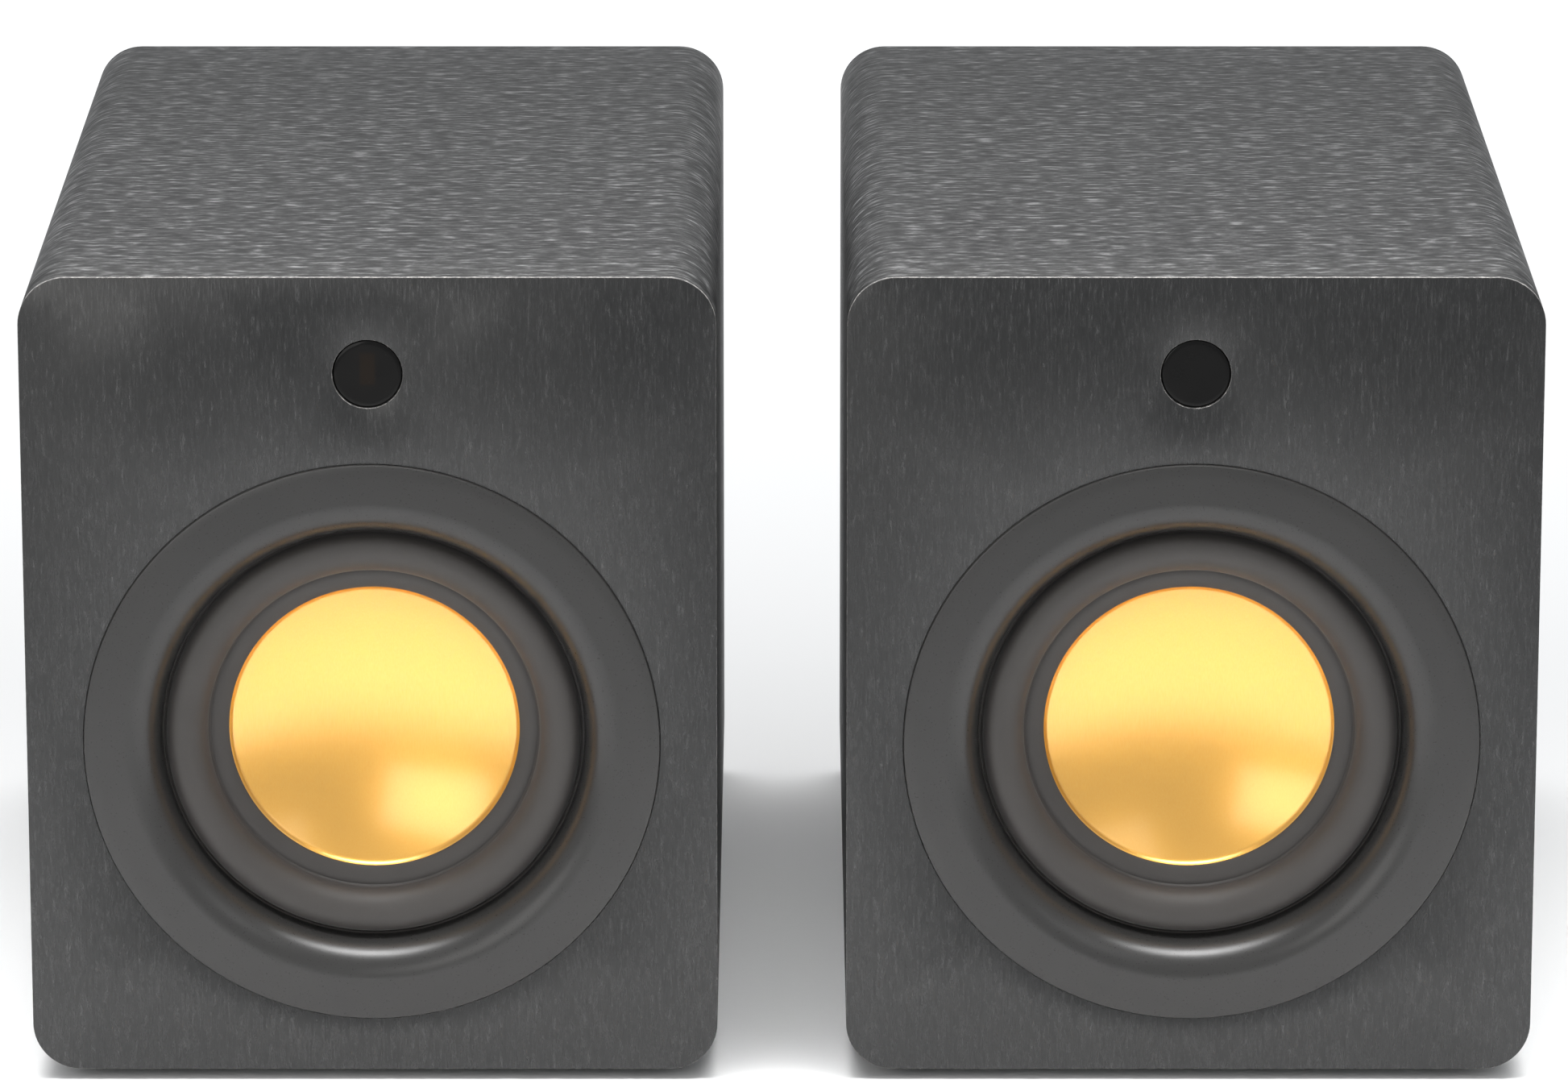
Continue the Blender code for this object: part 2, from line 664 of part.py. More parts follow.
def add_basket(side, x):
    """The driver's frame: flange, windowed wall, spider ledge and base."""
    flange, base = BASKET_FLANGE_DEPTH, BASKET_BASE_DEPTH
    ledge = flange + SPIDER_DEPTH + SPIDER_THICKNESS / 2 + GAP + BASKET_THICKNESS / 2
    line = [
        (BASKET_RADIUS - 2 * GAP, flange),
        (BASKET_THROAT_RADIUS, flange),
        (BASKET_THROAT_RADIUS - 0.0012, flange + 0.003),
        (SPIDER_RADIUS + 0.003, ledge - 0.0035),
        (SPIDER_RADIUS + 0.002, ledge),
        (SPIDER_RADIUS - SPIDER_LEDGE - BASKET_THICKNESS, ledge),
        (SPIDER_RADIUS - SPIDER_LEDGE - BASKET_THICKNESS, base),
        (COIL_RADIUS + BASKET_FOOT, base),
    ]
    basket = turned_sheet(
        f"{side}_basket", line, BASKET_THICKNESS, x, DRIVER_Z, PLASTIC, MEDIUM_SEGMENTS
    )
    mesh = bmesh.new()
    near, far = SPIDER_RADIUS - 0.001, BASKET_RADIUS + CUTTER_OVERRUN
    top, bottom = flange + 0.0045, ledge - 0.0035
    for i in range(BASKET_WINDOWS):
        turn = Matrix.Rotation(2 * math.pi * i / BASKET_WINDOWS, 4, "Y")
        middle = Matrix.Translation(((near + far) / 2, (top + bottom) / 2, 0))
        size = Matrix.Diagonal((far - near, bottom - top, BASKET_WINDOW_WIDTH, 1))
        bmesh.ops.create_cube(mesh, size=1, matrix=turn @ middle @ size)
    data = bpy.data.meshes.new(f"cut_{side}_basket")
    mesh.to_mesh(data)
    mesh.free()
    windows = add_object(data.name, data, CUTTERS, (x, FRONT_Y, DRIVER_Z))
    combine(basket, windows)


def add_motor(side, x):
    """Top plate, ring magnet and the back plate with its pole."""
    bore = COIL_RADIUS + BOBBIN_THICKNESS + WINDING_THICKNESS + MAGNET_GAP
    pole = COIL_RADIUS - MAGNET_GAP
    plate_end = TOP_PLATE_DEPTH + TOP_PLATE_THICKNESS
    top_plate = [
        (bore, TOP_PLATE_DEPTH),
        (IRON_RADIUS, TOP_PLATE_DEPTH),
        (IRON_RADIUS, plate_end),
        (bore, plate_end),
    ]
    magnet_end = MAGNET_DEPTH + MAGNET_THICKNESS
    magnet = [
        (bore + MAGNET_CLEARANCE, MAGNET_DEPTH),
        (MAGNET_RADIUS, MAGNET_DEPTH),
        (MAGNET_RADIUS, magnet_end),
        (bore + MAGNET_CLEARANCE, magnet_end),
    ]
    back_end = BACK_PLATE_DEPTH + BACK_PLATE_THICKNESS
    pole_piece = [
        (0, TOP_PLATE_DEPTH),
        (pole, TOP_PLATE_DEPTH),
        (pole, BACK_PLATE_DEPTH),
        (IRON_RADIUS, BACK_PLATE_DEPTH),
        (IRON_RADIUS, back_end),
        (0, back_end),
    ]
    turned(f"{side}_top_plate", top_plate, x, DRIVER_Z, STEEL, SMALL_SEGMENTS)
    turned(f"{side}_magnet", magnet, x, DRIVER_Z, FERRITE, SMALL_SEGMENTS)
    turned(f"{side}_pole_piece", pole_piece, x, DRIVER_Z, STEEL, SMALL_SEGMENTS)


def add_driver(side, x):
    add_trim_ring(side, x)
    turned_sheet(
        f"{side}_surround",
        surround_line(),
        SURROUND_THICKNESS,
        x,
        DRIVER_Z,
        RUBBER,
        MEDIUM_SEGMENTS,
    )
    add_cone(side, x)
    add_voice_coil(side, x)
    add_spider(side, x)
    add_basket(side, x)
    add_motor(side, x)


# ---------------------------------------------------------------- terminals
def post_places(centre):
    """(colour, x, z) of a pair of binding posts."""
    return [
        ("red", centre[0] - POST_SPACING / 2, centre[1]),
        ("black", centre[0] + POST_SPACING / 2, centre[1]),
    ]


def add_binding_post(side, colour, x, z):
    """A fixed post with a plug socket in its end, a loose washer and a screw-down nut."""
    name = f"{side}_{colour}"
    finish = RED if colour == "red" else PLASTIC
    collar = PLATE_FACE + GAP
    collar_end = collar + POST_COLLAR
    end = PLATE_FACE + POST_LENGTH
    post = [
        (0, PLATE_FACE - POST_TAIL),
        (POST_TAIL_RADIUS, PLATE_FACE - POST_TAIL),
        (POST_TAIL_RADIUS, collar),
        (POST_COLLAR_RADIUS, collar),
        (POST_COLLAR_RADIUS, collar_end),
        (POST_STUD_RADIUS, collar_end),
        (POST_STUD_RADIUS, end),
        (POST_SOCKET_RADIUS, end),
        (POST_SOCKET_RADIUS, collar_end + GAP),
        (0, collar_end + GAP),
    ]
    bore = POST_STUD_RADIUS + RUNNING_GAP
    washer_start = collar_end + GAP
    washer_end = washer_start + WASHER_THICKNESS
    washer = [
        (bore, washer_start),
        (WASHER_RADIUS, washer_start),
        (WASHER_RADIUS, washer_end),
        (bore, washer_end),
    ]
    nut_start = washer_end + GAP
    nut_end = nut_start + NUT_LENGTH
    chamfer = 0.0008
    nut = [
        (bore, nut_start),
        (NUT_RADIUS, nut_start),
        (NUT_RADIUS, nut_end - chamfer),
        (NUT_RADIUS - chamfer, nut_end),
        (bore, nut_end),
    ]
    turned(f"{name}_post", post, x, z, STEEL, TINY_SEGMENTS)
    turned(f"{name}_washer", washer, x, z, STEEL, TINY_SEGMENTS)
    turned(f"{name}_nut", nut, x, z, finish, NUT_SIDES)


def rear_plate(name, x, size, finish, holes):
    plate = block(
        name,
        (x - size[0] / 2, PLATE_BACK, PLATE_Z - size[1] / 2),
        (x + size[0] / 2, PLATE_FACE, PLATE_Z + size[1] / 2),
        PLATE_CORNER_RADIUS,
        finish,
        segments=3,
    )
    ends = (PLATE_BACK - CUTTER_OVERRUN, PLATE_FACE + CUTTER_OVERRUN)
    combine(plate, drills(f"cut_{name}_holes", holes, *ends, TINY_SEGMENTS))
    return plate


def add_terminals(side, x, plate_name, plate_size, plate_finish, centre, more_holes=()):
    """A rear plate with its pair of binding posts. Returns the plate."""
    places = [(c, x + px, PLATE_Z + pz) for c, px, pz in post_places(centre)]
    holes = [(px, pz, POST_TAIL_RADIUS + GAP) for _, px, pz in places]
    plate = rear_plate(plate_name, x, plate_size, plate_finish, [*holes, *more_holes])
    for colour, px, pz in places:
        add_binding_post(side, colour, px, pz)
    return plate


# ---------------------------------------------------------------- amplifier
def on_plate(x, place):
    """World (x, z) of a control on the amplifier plate."""
    return x + place[0], PLATE_Z + place[1]


def amp_plate_holes(x):
    sizes = [
        (VOLUME_AT, SHAFT_RADIUS + RUNNING_GAP),
        (BUTTON_AT, BUTTON_RADIUS + RUNNING_GAP),
        (WHITE_JACK_AT, JACK_RADIUS + GAP),
        (RED_JACK_AT, JACK_RADIUS + GAP),
        (AUX_JACK_AT, AUX_RADIUS + GAP),
    ]
    return [(*on_plate(x, place), radius) for place, radius in sizes]


def add_volume_control(x):
    """Potentiometer body with its bush, the turning shaft and the knob on it."""
    at = on_plate(x, VOLUME_AT)
    start = BOARD_FACE + GAP
    bore = SHAFT_RADIUS + RUNNING_GAP
    shaft_end = PLATE_FACE + SHAFT_REACH
    knob_start = PLATE_FACE + KNOB_STANDOFF
    knob_end = knob_start + KNOB_LENGTH
    chamfer = 0.0008
    pot = [
        (0, start),
        (POT_RADIUS, start),
        (POT_RADIUS, start + POT_LENGTH),
        (POT_BUSH_RADIUS, start + POT_LENGTH),
        (POT_BUSH_RADIUS, PLATE_BACK - GAP),
        (bore, PLATE_BACK - GAP),
        (bore, start + POT_FLOOR),
        (0, start + POT_FLOOR),
    ]
    shaft = [
        (0, start + POT_FLOOR + RUNNING_GAP),
        (SHAFT_RADIUS, start + POT_FLOOR + RUNNING_GAP),
        (SHAFT_RADIUS, shaft_end),
        (0, shaft_end),
    ]
    knob = [
        (0, shaft_end + GAP),
        (bore, shaft_end + GAP),
        (bore, knob_start),
        (KNOB_RADIUS, knob_start),
        (KNOB_RADIUS, knob_end - chamfer),
        (KNOB_RADIUS - chamfer, knob_end),
        (0, knob_end),
    ]
    turned("volume_potentiometer", pot, *at, STEEL, SMALL_SEGMENTS)
    turned("volume_shaft", shaft, *at, STEEL, TINY_SEGMENTS)
    turned("volume_knob", knob, *at, PLASTIC, LARGE_SEGMENTS)


def add_input_button(x):
    """A push button kept in its hole by a flange behind the plate."""
    flange_end = PLATE_BACK - GAP
    flange_start = flange_end - BUTTON_FLANGE
    stem_end = BOARD_FACE + BUTTON_TRAVEL + GAP
    profile = [
        (0, stem_end),
        (BUTTON_STEM_RADIUS, stem_end),
        (BUTTON_STEM_RADIUS, flange_start),
        (BUTTON_FLANGE_RADIUS, flange_start),
        (BUTTON_FLANGE_RADIUS, flange_end),
        (BUTTON_RADIUS, flange_end),
        (BUTTON_RADIUS, PLATE_FACE + BUTTON_REACH),
        (0, PLATE_FACE + BUTTON_REACH),
    ]
    turned("input_button", profile, *on_plate(x, BUTTON_AT), PLASTIC, TINY_SEGMENTS)


def add_jack(name, x, place, body_radius, radius, bore, reach, finish):
    """A round socket: body behind the plate, barrel through it and a blind bore."""
    end = PLATE_FACE + reach
    body_end = PLATE_BACK - GAP
    profile = [
        (0, BOARD_FACE + GAP),
        (body_radius, BOARD_FACE + GAP),
        (body_radius, body_end),
        (radius, body_end),
        (radius, end),
        (bore, end),
        (bore, end - JACK_SOCKET_DEPTH),
        (0, end - JACK_SOCKET_DEPTH),
    ]
    turned(name, profile, *on_plate(x, place), finish, TINY_SEGMENTS)


def add_power_module(x, plate):
    """Mains inlet and rocker switch in one moulding, through a cutout in the plate."""
    centre_x, centre_z = on_plate(x, POWER_AT)
    width, depth, height = MODULE_BODY

    def centred(name, size, z, start, end, corner, finish=None, collection=CUTTERS):
        low = (centre_x - size[0] / 2, start, z - size[1] / 2)
        high = (centre_x + size[0] / 2, end, z + size[1] / 2)
        return block(
            name, low, high, corner, finish, segments=3, collection=collection
        )

    module = centred(
        "power_inlet",
        (width + 2 * MODULE_LAP, height + 2 * MODULE_LAP),
        centre_z,
        PLATE_FACE + GAP,
        PLATE_FACE + GAP + MODULE_FACE,
        0.002,
        PLASTIC,
        PARTS,
    )
    face = PLATE_FACE + GAP + MODULE_FACE
    body = centred(
        "join_module_body",
        (width, height),
        centre_z,
        PLATE_BACK - depth,
        PLATE_FACE + GAP + MODULE_FACE / 2,
        0.001,
    )
    combine(module, body, "UNION")
    hole = centred(
        "cut_plate_module",
        (width + 2 * GAP, height + 2 * GAP),
        centre_z,
        PLATE_BACK - CUTTER_OVERRUN,
        PLATE_FACE + CUTTER_OVERRUN,
        0.001,
    )
    combine(plate, hole)

    inlet_z = centre_z + INLET_OFFSET
    overrun = face + CUTTER_OVERRUN
    inlet = centred(
        "cut_inlet", INLET_SIZE, inlet_z, face - INLET_DEPTH, overrun, INLET_CORNER
    )
    combine(module, inlet)
    pins = [
        (centre_x + sign * PIN_SPACING / 2, inlet_z, PIN_RADIUS) for sign in (-1, 1)
    ]
    root = face - INLET_DEPTH - 0.001
    tips = face - INLET_DEPTH + PIN_LENGTH
    combine(module, drills("join_inlet_pins", pins, root, tips, 8), "UNION")

    rocker_z = centre_z + ROCKER_OFFSET
    swing = (
        ROCKER_SIZE[0] + 2 * RUNNING_GAP,
        ROCKER_SIZE[1] + 2 * ROCKER_SWING_GAP,
    )
    well = centred("cut_rocker_well", swing, rocker_z, face - ROCKER_WELL, overrun, 0)
    combine(module, well)
    add_rocker(centre_x, face - ROCKER_SINK, rocker_z)


def add_rocker(x, depth, z):
    """The switch's rocker at rest in its off position, tilted about its own X axis."""
    half = ROCKER_SIZE[1] / 2
    section = [
        (-ROCKER_BELOW, -half),
        (ROCKER_WING, -half),
        (ROCKER_MIDDLE, 0),
        (ROCKER_WING, half),
        (-ROCKER_BELOW, half),
    ]
    pivot = bpy.data.objects.new("rocker_pivot", None)
    pivot.location = (x, FRONT_Y + depth, z)
    pivot.rotation_euler = (-ROCKER_TILT, 0, 0)
    PARTS.objects.link(pivot)
    upright = (math.pi / 2, 0, math.pi / 2)
    rocker = outline(
        "power_rocker", section, ROCKER_SIZE[0], (0, 0, 0), upright, PLASTIC
    )
    rocker.parent = pivot


def add_heat_sink(x):
    """A finned extrusion on the inner side of the board, its fins upright."""
    half = HEAT_SINK_WIDTH / 2
    pitch = (HEAT_SINK_WIDTH - HEAT_SINK_FIN) / (HEAT_SINK_FINS - 1)
    comb = [(half, 0), (-half, 0)]
    for i in range(HEAT_SINK_FINS):
        left = -half + pitch * i
        right = left + HEAT_SINK_FIN
        comb += [(left, HEAT_SINK_DEPTH), (right, HEAT_SINK_DEPTH)]
        if i < HEAT_SINK_FINS - 1:
            comb += [(right, HEAT_SINK_BASE), (left + pitch, HEAT_SINK_BASE)]
    outline(
        "heat_sink",
        comb,
        HEAT_SINK_HEIGHT,
        (x, FRONT_Y + HEAT_SINK_BACK, PLATE_Z),
        (math.pi, 0, 0),
        ALUMINIUM,
    )


def add_transformer(x):
    """A ring transformer lying on the cabinet's floor."""
    top = TRANSFORMER_HEIGHT
    edge = 0.005
    profile = [
        (TRANSFORMER_BORE, -top + edge),
        (TRANSFORMER_BORE + edge, -top),
        (TRANSFORMER_RADIUS - edge, -top),
        (TRANSFORMER_RADIUS, -top + edge),
        (TRANSFORMER_RADIUS, -edge),
        (TRANSFORMER_RADIUS - edge, 0),
        (TRANSFORMER_BORE + edge, 0),
        (TRANSFORMER_BORE, -edge),
    ]
    data = profile_mesh("transformer", profile, True)
    axis = FRONT_Y + TRANSFORMER_BACK - TRANSFORMER_RADIUS
    made = add_object("transformer", data, PARTS, (x, axis, BOTTOM_Z + WALL + GAP))
    add_screw(made, SMALL_SEGMENTS)
    finish_part(made, COPPER)


def add_front_electronics(x):
    """Remote receiver and status light behind the window."""
    start = WINDOW_RECESS + WINDOW_LENGTH + GAP
    width, depth, height = RECEIVER_SIZE
    middle = WINDOW_Z + RECEIVER_RAISE
    block(
        "remote_receiver",
        (x - width / 2, start, middle - height / 2),
        (x + width / 2, start + depth, middle + height / 2),
        0.0008,
        PLASTIC,
        segments=2,
    )
    led = [
        (0, start),
        (LED_RADIUS, start),
        (LED_RADIUS, start + LED_LENGTH),
        (0, start + LED_LENGTH),
    ]
    turned("status_led", led, x, WINDOW_Z - LED_DROP, WHITE, 12)


def add_amplifier(x):
    """Everything that only the active speaker holds."""
    plate = add_terminals(
        "left",
        x,
        "amplifier_plate",
        AMP_PLATE_SIZE,
        PLATE,
        AMP_POSTS_AT,
        amp_plate_holes(x),
    )
    width, height = cutout_size(AMP_PLATE_SIZE)
    width, height = width - 2 * BOARD_MARGIN, height - 2 * BOARD_MARGIN
    block(
        "amplifier_board",
        (x - width / 2, BOARD_FACE - BOARD_THICKNESS, PLATE_Z - height / 2),
        (x + width / 2, BOARD_FACE, PLATE_Z + height / 2),
        0,
        CIRCUIT,
    )
    add_volume_control(x)
    add_input_button(x)
    rca = (JACK_BODY_RADIUS, JACK_RADIUS, JACK_BORE, JACK_REACH)
    aux = (AUX_BODY_RADIUS, AUX_RADIUS, AUX_BORE, AUX_REACH)
    add_jack("white_input_jack", x, WHITE_JACK_AT, *rca, WHITE)
    add_jack("red_input_jack", x, RED_JACK_AT, *rca, RED)
    add_jack("aux_input_jack", x, AUX_JACK_AT, *aux, PLASTIC)
    add_power_module(x, plate)
    add_heat_sink(x)
    add_transformer(x)
    add_front_electronics(x)


# ---------------------------------------------------------------- the pair
def add_speaker(side, x, plate_size):
    add_cabinet(side, x)
    add_fascia(side, x)
    add_baffle(side, x)
    add_rear_panel(side, x, plate_size)
    add_window(side, x)
    add_port(side, x)
    add_base_pad(side, x)
    add_driver(side, x)


def main():
    left, right = -SPEAKER_SPACING / 2, SPEAKER_SPACING / 2
    add_speaker("left", left, AMP_PLATE_SIZE)
    add_amplifier(left)
    add_speaker("right", right, TERMINAL_PLATE_SIZE)
    add_terminals(
        "right",
        right,
        "terminal_plate",
        TERMINAL_PLATE_SIZE,
        PLASTIC,
        TERMINAL_POSTS_AT,
    )


main()
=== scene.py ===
"""Looks for a pair of black desktop speakers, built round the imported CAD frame.

X is to the right, -Y is out of the fronts and Z is up. Depth is measured from the front
sheet's outer face towards the back.
"""

import json
import math

import bmesh
import bpy
import numpy as np
from mathutils import Matrix, Vector

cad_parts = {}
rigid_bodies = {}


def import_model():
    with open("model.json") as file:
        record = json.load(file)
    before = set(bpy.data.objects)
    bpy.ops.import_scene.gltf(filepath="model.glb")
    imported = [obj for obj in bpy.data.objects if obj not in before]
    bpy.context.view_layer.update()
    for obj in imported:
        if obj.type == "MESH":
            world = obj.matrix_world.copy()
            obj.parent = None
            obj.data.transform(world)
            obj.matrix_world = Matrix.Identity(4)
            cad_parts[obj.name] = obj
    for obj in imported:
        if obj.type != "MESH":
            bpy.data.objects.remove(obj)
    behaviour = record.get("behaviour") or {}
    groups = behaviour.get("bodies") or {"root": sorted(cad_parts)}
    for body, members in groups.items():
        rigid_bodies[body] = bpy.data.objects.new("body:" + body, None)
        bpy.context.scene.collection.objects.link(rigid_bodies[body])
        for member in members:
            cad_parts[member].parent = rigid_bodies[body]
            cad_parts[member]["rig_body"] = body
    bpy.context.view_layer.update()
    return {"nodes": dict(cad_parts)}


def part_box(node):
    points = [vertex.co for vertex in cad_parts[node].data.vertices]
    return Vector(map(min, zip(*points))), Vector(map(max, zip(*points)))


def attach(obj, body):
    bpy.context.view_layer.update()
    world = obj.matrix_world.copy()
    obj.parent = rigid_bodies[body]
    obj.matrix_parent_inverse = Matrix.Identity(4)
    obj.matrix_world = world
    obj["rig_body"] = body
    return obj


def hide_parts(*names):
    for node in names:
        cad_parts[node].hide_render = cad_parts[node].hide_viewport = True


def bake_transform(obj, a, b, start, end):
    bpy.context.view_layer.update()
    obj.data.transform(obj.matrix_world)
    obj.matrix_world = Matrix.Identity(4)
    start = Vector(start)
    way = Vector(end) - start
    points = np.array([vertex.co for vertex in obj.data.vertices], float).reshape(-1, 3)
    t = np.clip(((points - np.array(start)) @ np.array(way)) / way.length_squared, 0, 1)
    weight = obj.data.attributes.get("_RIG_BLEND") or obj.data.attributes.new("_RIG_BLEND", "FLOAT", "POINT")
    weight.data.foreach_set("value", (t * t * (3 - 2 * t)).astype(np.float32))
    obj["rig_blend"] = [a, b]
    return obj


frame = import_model()
SIDES = ("left", "right")


# ---------------------------------------------------------------- places, from the CAD
def cad(node):
    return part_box(node)


def middle(node):
    low, high = cad(node)
    return (low + high) / 2


def axis_of(node):
    """World (x, z) of the axis of a piece turned about Y."""
    centre = middle(node)
    return centre.x, centre.z


def radius_of(node):
    low, high = cad(node)
    return (high.x - low.x) / 2


FRONT = cad("left_front_fascia")[0].y  # y of the front sheet's outer face


# ---------------------------------------------------------------- mesh tools
def new_object(name, mesh, body, replaces=(), material=None):
    made = bpy.data.objects.new(name, mesh)
    bpy.context.scene.collection.objects.link(made)
    if material:
        made.data.materials.append(material)
    if replaces:
        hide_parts(*replaces)
    if body:
        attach(made, body)
    return made


def mesh_from(name, points, faces, smooth=True):
    mesh = bpy.data.meshes.new(name)
    mesh.from_pydata([tuple(p) for p in points], [], faces)
    mesh.update()
    if smooth:
        mesh.shade_smooth()
    return mesh


def turned_mesh(name, profile, x, z, segments, closed=True, sharp=35.0):
    """A mesh turned about the Y axis from (radius, y) points; points on the axis become one."""
    count = len(profile)
    points, rows = [], []
    for radius, y in profile:
        if radius < 1e-7:
            rows.append([len(points)] * segments)
            points.append((x, y, z))
            continue
        row = []
        for i in range(segments):
            angle = 2 * math.pi * i / segments
            row.append(len(points))
            points.append((x + radius * math.cos(angle), y, z + radius * math.sin(angle)))
        rows.append(row)
    faces = []
    spans = count if closed else count - 1
    for j in range(spans):
        first, second = rows[j], rows[(j + 1) % count]
        if first[0] == first[1] and second[0] == second[1]:
            continue
        for i in range(segments):
            n = (i + 1) % segments
            corners = [first[i], first[n], second[n], second[i]]
            face = [c for k, c in enumerate(corners) if c not in corners[:k]]
            if len(face) > 2:
                faces.append(face)
    mesh = mesh_from(name, points, faces)
    tidy(mesh)
    mesh.set_sharp_from_angle(angle=math.radians(sharp))
    return mesh


def tidy(mesh):
    """Makes the faces of a closed mesh point out."""
    work = bmesh.new()
    work.from_mesh(mesh)
    bmesh.ops.recalc_face_normals(work, faces=work.faces)
    if work.calc_volume(signed=True) < 0:
        bmesh.ops.reverse_faces(work, faces=work.faces)
    work.to_mesh(mesh)
    work.free()
    mesh.update()


def rounded_outline(x0, x1, z0, z1, radius, steps):
    """Anticlockwise (x, z) points of a rounded rectangle."""
    corners = (
        (x1 - radius, z0 + radius, -90),
        (x1 - radius, z1 - radius, 0),
        (x0 + radius, z1 - radius, 90),
        (x0 + radius, z0 + radius, 180),
    )
    points = []
    for cx, cz, start in corners:
        for i in range(steps + 1):
            angle = math.radians(start + 90 * i / steps)
            points.append((cx + radius * math.cos(angle), cz + radius * math.sin(angle)))
    return points


def split_runs(points, most):
    """Adds points along the long straight stretches, so that no stretch is over `most`."""
    out = []
    for a, b in zip(points, points[1:] + points[:1]):
        pieces = max(1, math.ceil(math.dist(a, b) / most))
        for i in range(pieces):
            t = i / pieces
            out.append((a[0] + (b[0] - a[0]) * t, a[1] + (b[1] - a[1]) * t))
    return out


def smooth_step(t):
    t = min(1.0, max(0.0, t))
    return t * t * (3 - 2 * t)


def arc(centre, width, depth, start, end, steps):
    """(radius, y) points on an ellipse; 0 degrees points outward and 90 to the back."""
    points = []
    for i in range(steps + 1):
        angle = math.radians(start + (end - start) * i / steps)
        points.append(
            (centre[0] + width * math.cos(angle), centre[1] + depth * math.sin(angle))
        )
    return points


def sheet_mesh(name, outline, holes, front, back, visible, bevel):
    """A flat sheet across Y with holes through it, its edges on the visible side bevelled.

    outline and each hole are loops of (x, z). Bevelled and cut outer edges get the
    second material slot.
    """
    work = bmesh.new()
    for loop in (outline, *holes):
        verts = [work.verts.new((x, visible, z)) for x, z in loop]
        for a, b in zip(verts, verts[1:] + verts[:1]):
            work.edges.new((a, b))
    bmesh.ops.triangle_fill(work, use_beauty=True, edges=work.edges)
    for face in list(work.faces):
        centre = face.calc_center_median()
        if any(inside_loop((centre.x, centre.z), hole) for hole in holes):
            work.faces.remove(face)
    made = bmesh.ops.extrude_face_region(work, geom=list(work.faces))
    moved = [v for v in made["geom"] if isinstance(v, bmesh.types.BMVert)]
    hidden = back if visible == front else front
    bmesh.ops.translate(work, verts=moved, vec=(0, hidden - visible, 0))
    bmesh.ops.recalc_face_normals(work, faces=work.faces)
    rim = [
        e
        for e in work.edges
        if len(e.link_faces) == 2
        and e.calc_face_angle(0) > 1.2
        and all(abs(v.co.y - visible) < 1e-6 for v in e.verts)
    ]
    bmesh.ops.bevel(
        work, geom=rim, offset=bevel, segments=2, profile=0.5, affect="EDGES", clamp_overlap=True
    )
    for face in work.faces:
        centre = face.calc_center_median()
        from_edge = distance_to_loop((centre.x, centre.z), outline)
        if abs(face.normal.y) < 0.98 and from_edge < bevel * 1.5:
            face.material_index = 1
    mesh = bpy.data.meshes.new(name)
    work.to_mesh(mesh)
    work.free()
    mesh.shade_smooth()
    mesh.set_sharp_from_angle(angle=math.radians(25))
    return mesh


def inside_loop(point, loop):
    x, z = point
    odd = False
    for (x0, z0), (x1, z1) in zip(loop, loop[1:] + loop[:1]):
        if (z0 > z) != (z1 > z) and x < x0 + (z - z0) / (z1 - z0) * (x1 - x0):
            odd = not odd
    return odd


def distance_to_loop(point, loop):
    best = math.inf
    for a, b in zip(loop, loop[1:] + loop[:1]):
        along = (b[0] - a[0], b[1] - a[1])
        length = along[0] ** 2 + along[1] ** 2
        t = ((point[0] - a[0]) * along[0] + (point[1] - a[1]) * along[1]) / length
        t = min(1.0, max(0.0, t))
        best = min(best, math.dist(point, (a[0] + along[0] * t, a[1] + along[1] * t)))
    return best


def circle(x, z, radius, steps):
    turns = (2 * math.pi * i / steps for i in range(steps))
    return [(x + radius * math.cos(a), z + radius * math.sin(a)) for a in turns]


def fluted_mesh(name, profile, x, z, flutes, steps=8):
    """A turned cap whose side is cut by shallow flutes, from (radius, y, flute depth)."""
    count = flutes * steps
    points = []
    for radius, y, depth in profile:
        for i in range(count):
            angle = 2 * math.pi * i / count
            cut = depth * (0.5 + 0.5 * math.cos(flutes * angle)) ** 2
            points.append(
                (x + (radius - cut) * math.cos(angle), y, z + (radius - cut) * math.sin(angle))
            )
    faces = []
    for j in range(len(profile)):
        k = (j + 1) % len(profile)
        for i in range(count):
            n = (i + 1) % count
            faces.append((j * count + i, j * count + n, k * count + n, k * count + i))
    mesh = mesh_from(name, points, faces)
    tidy(mesh)
    mesh.set_sharp_from_angle(angle=math.radians(40))
    return mesh


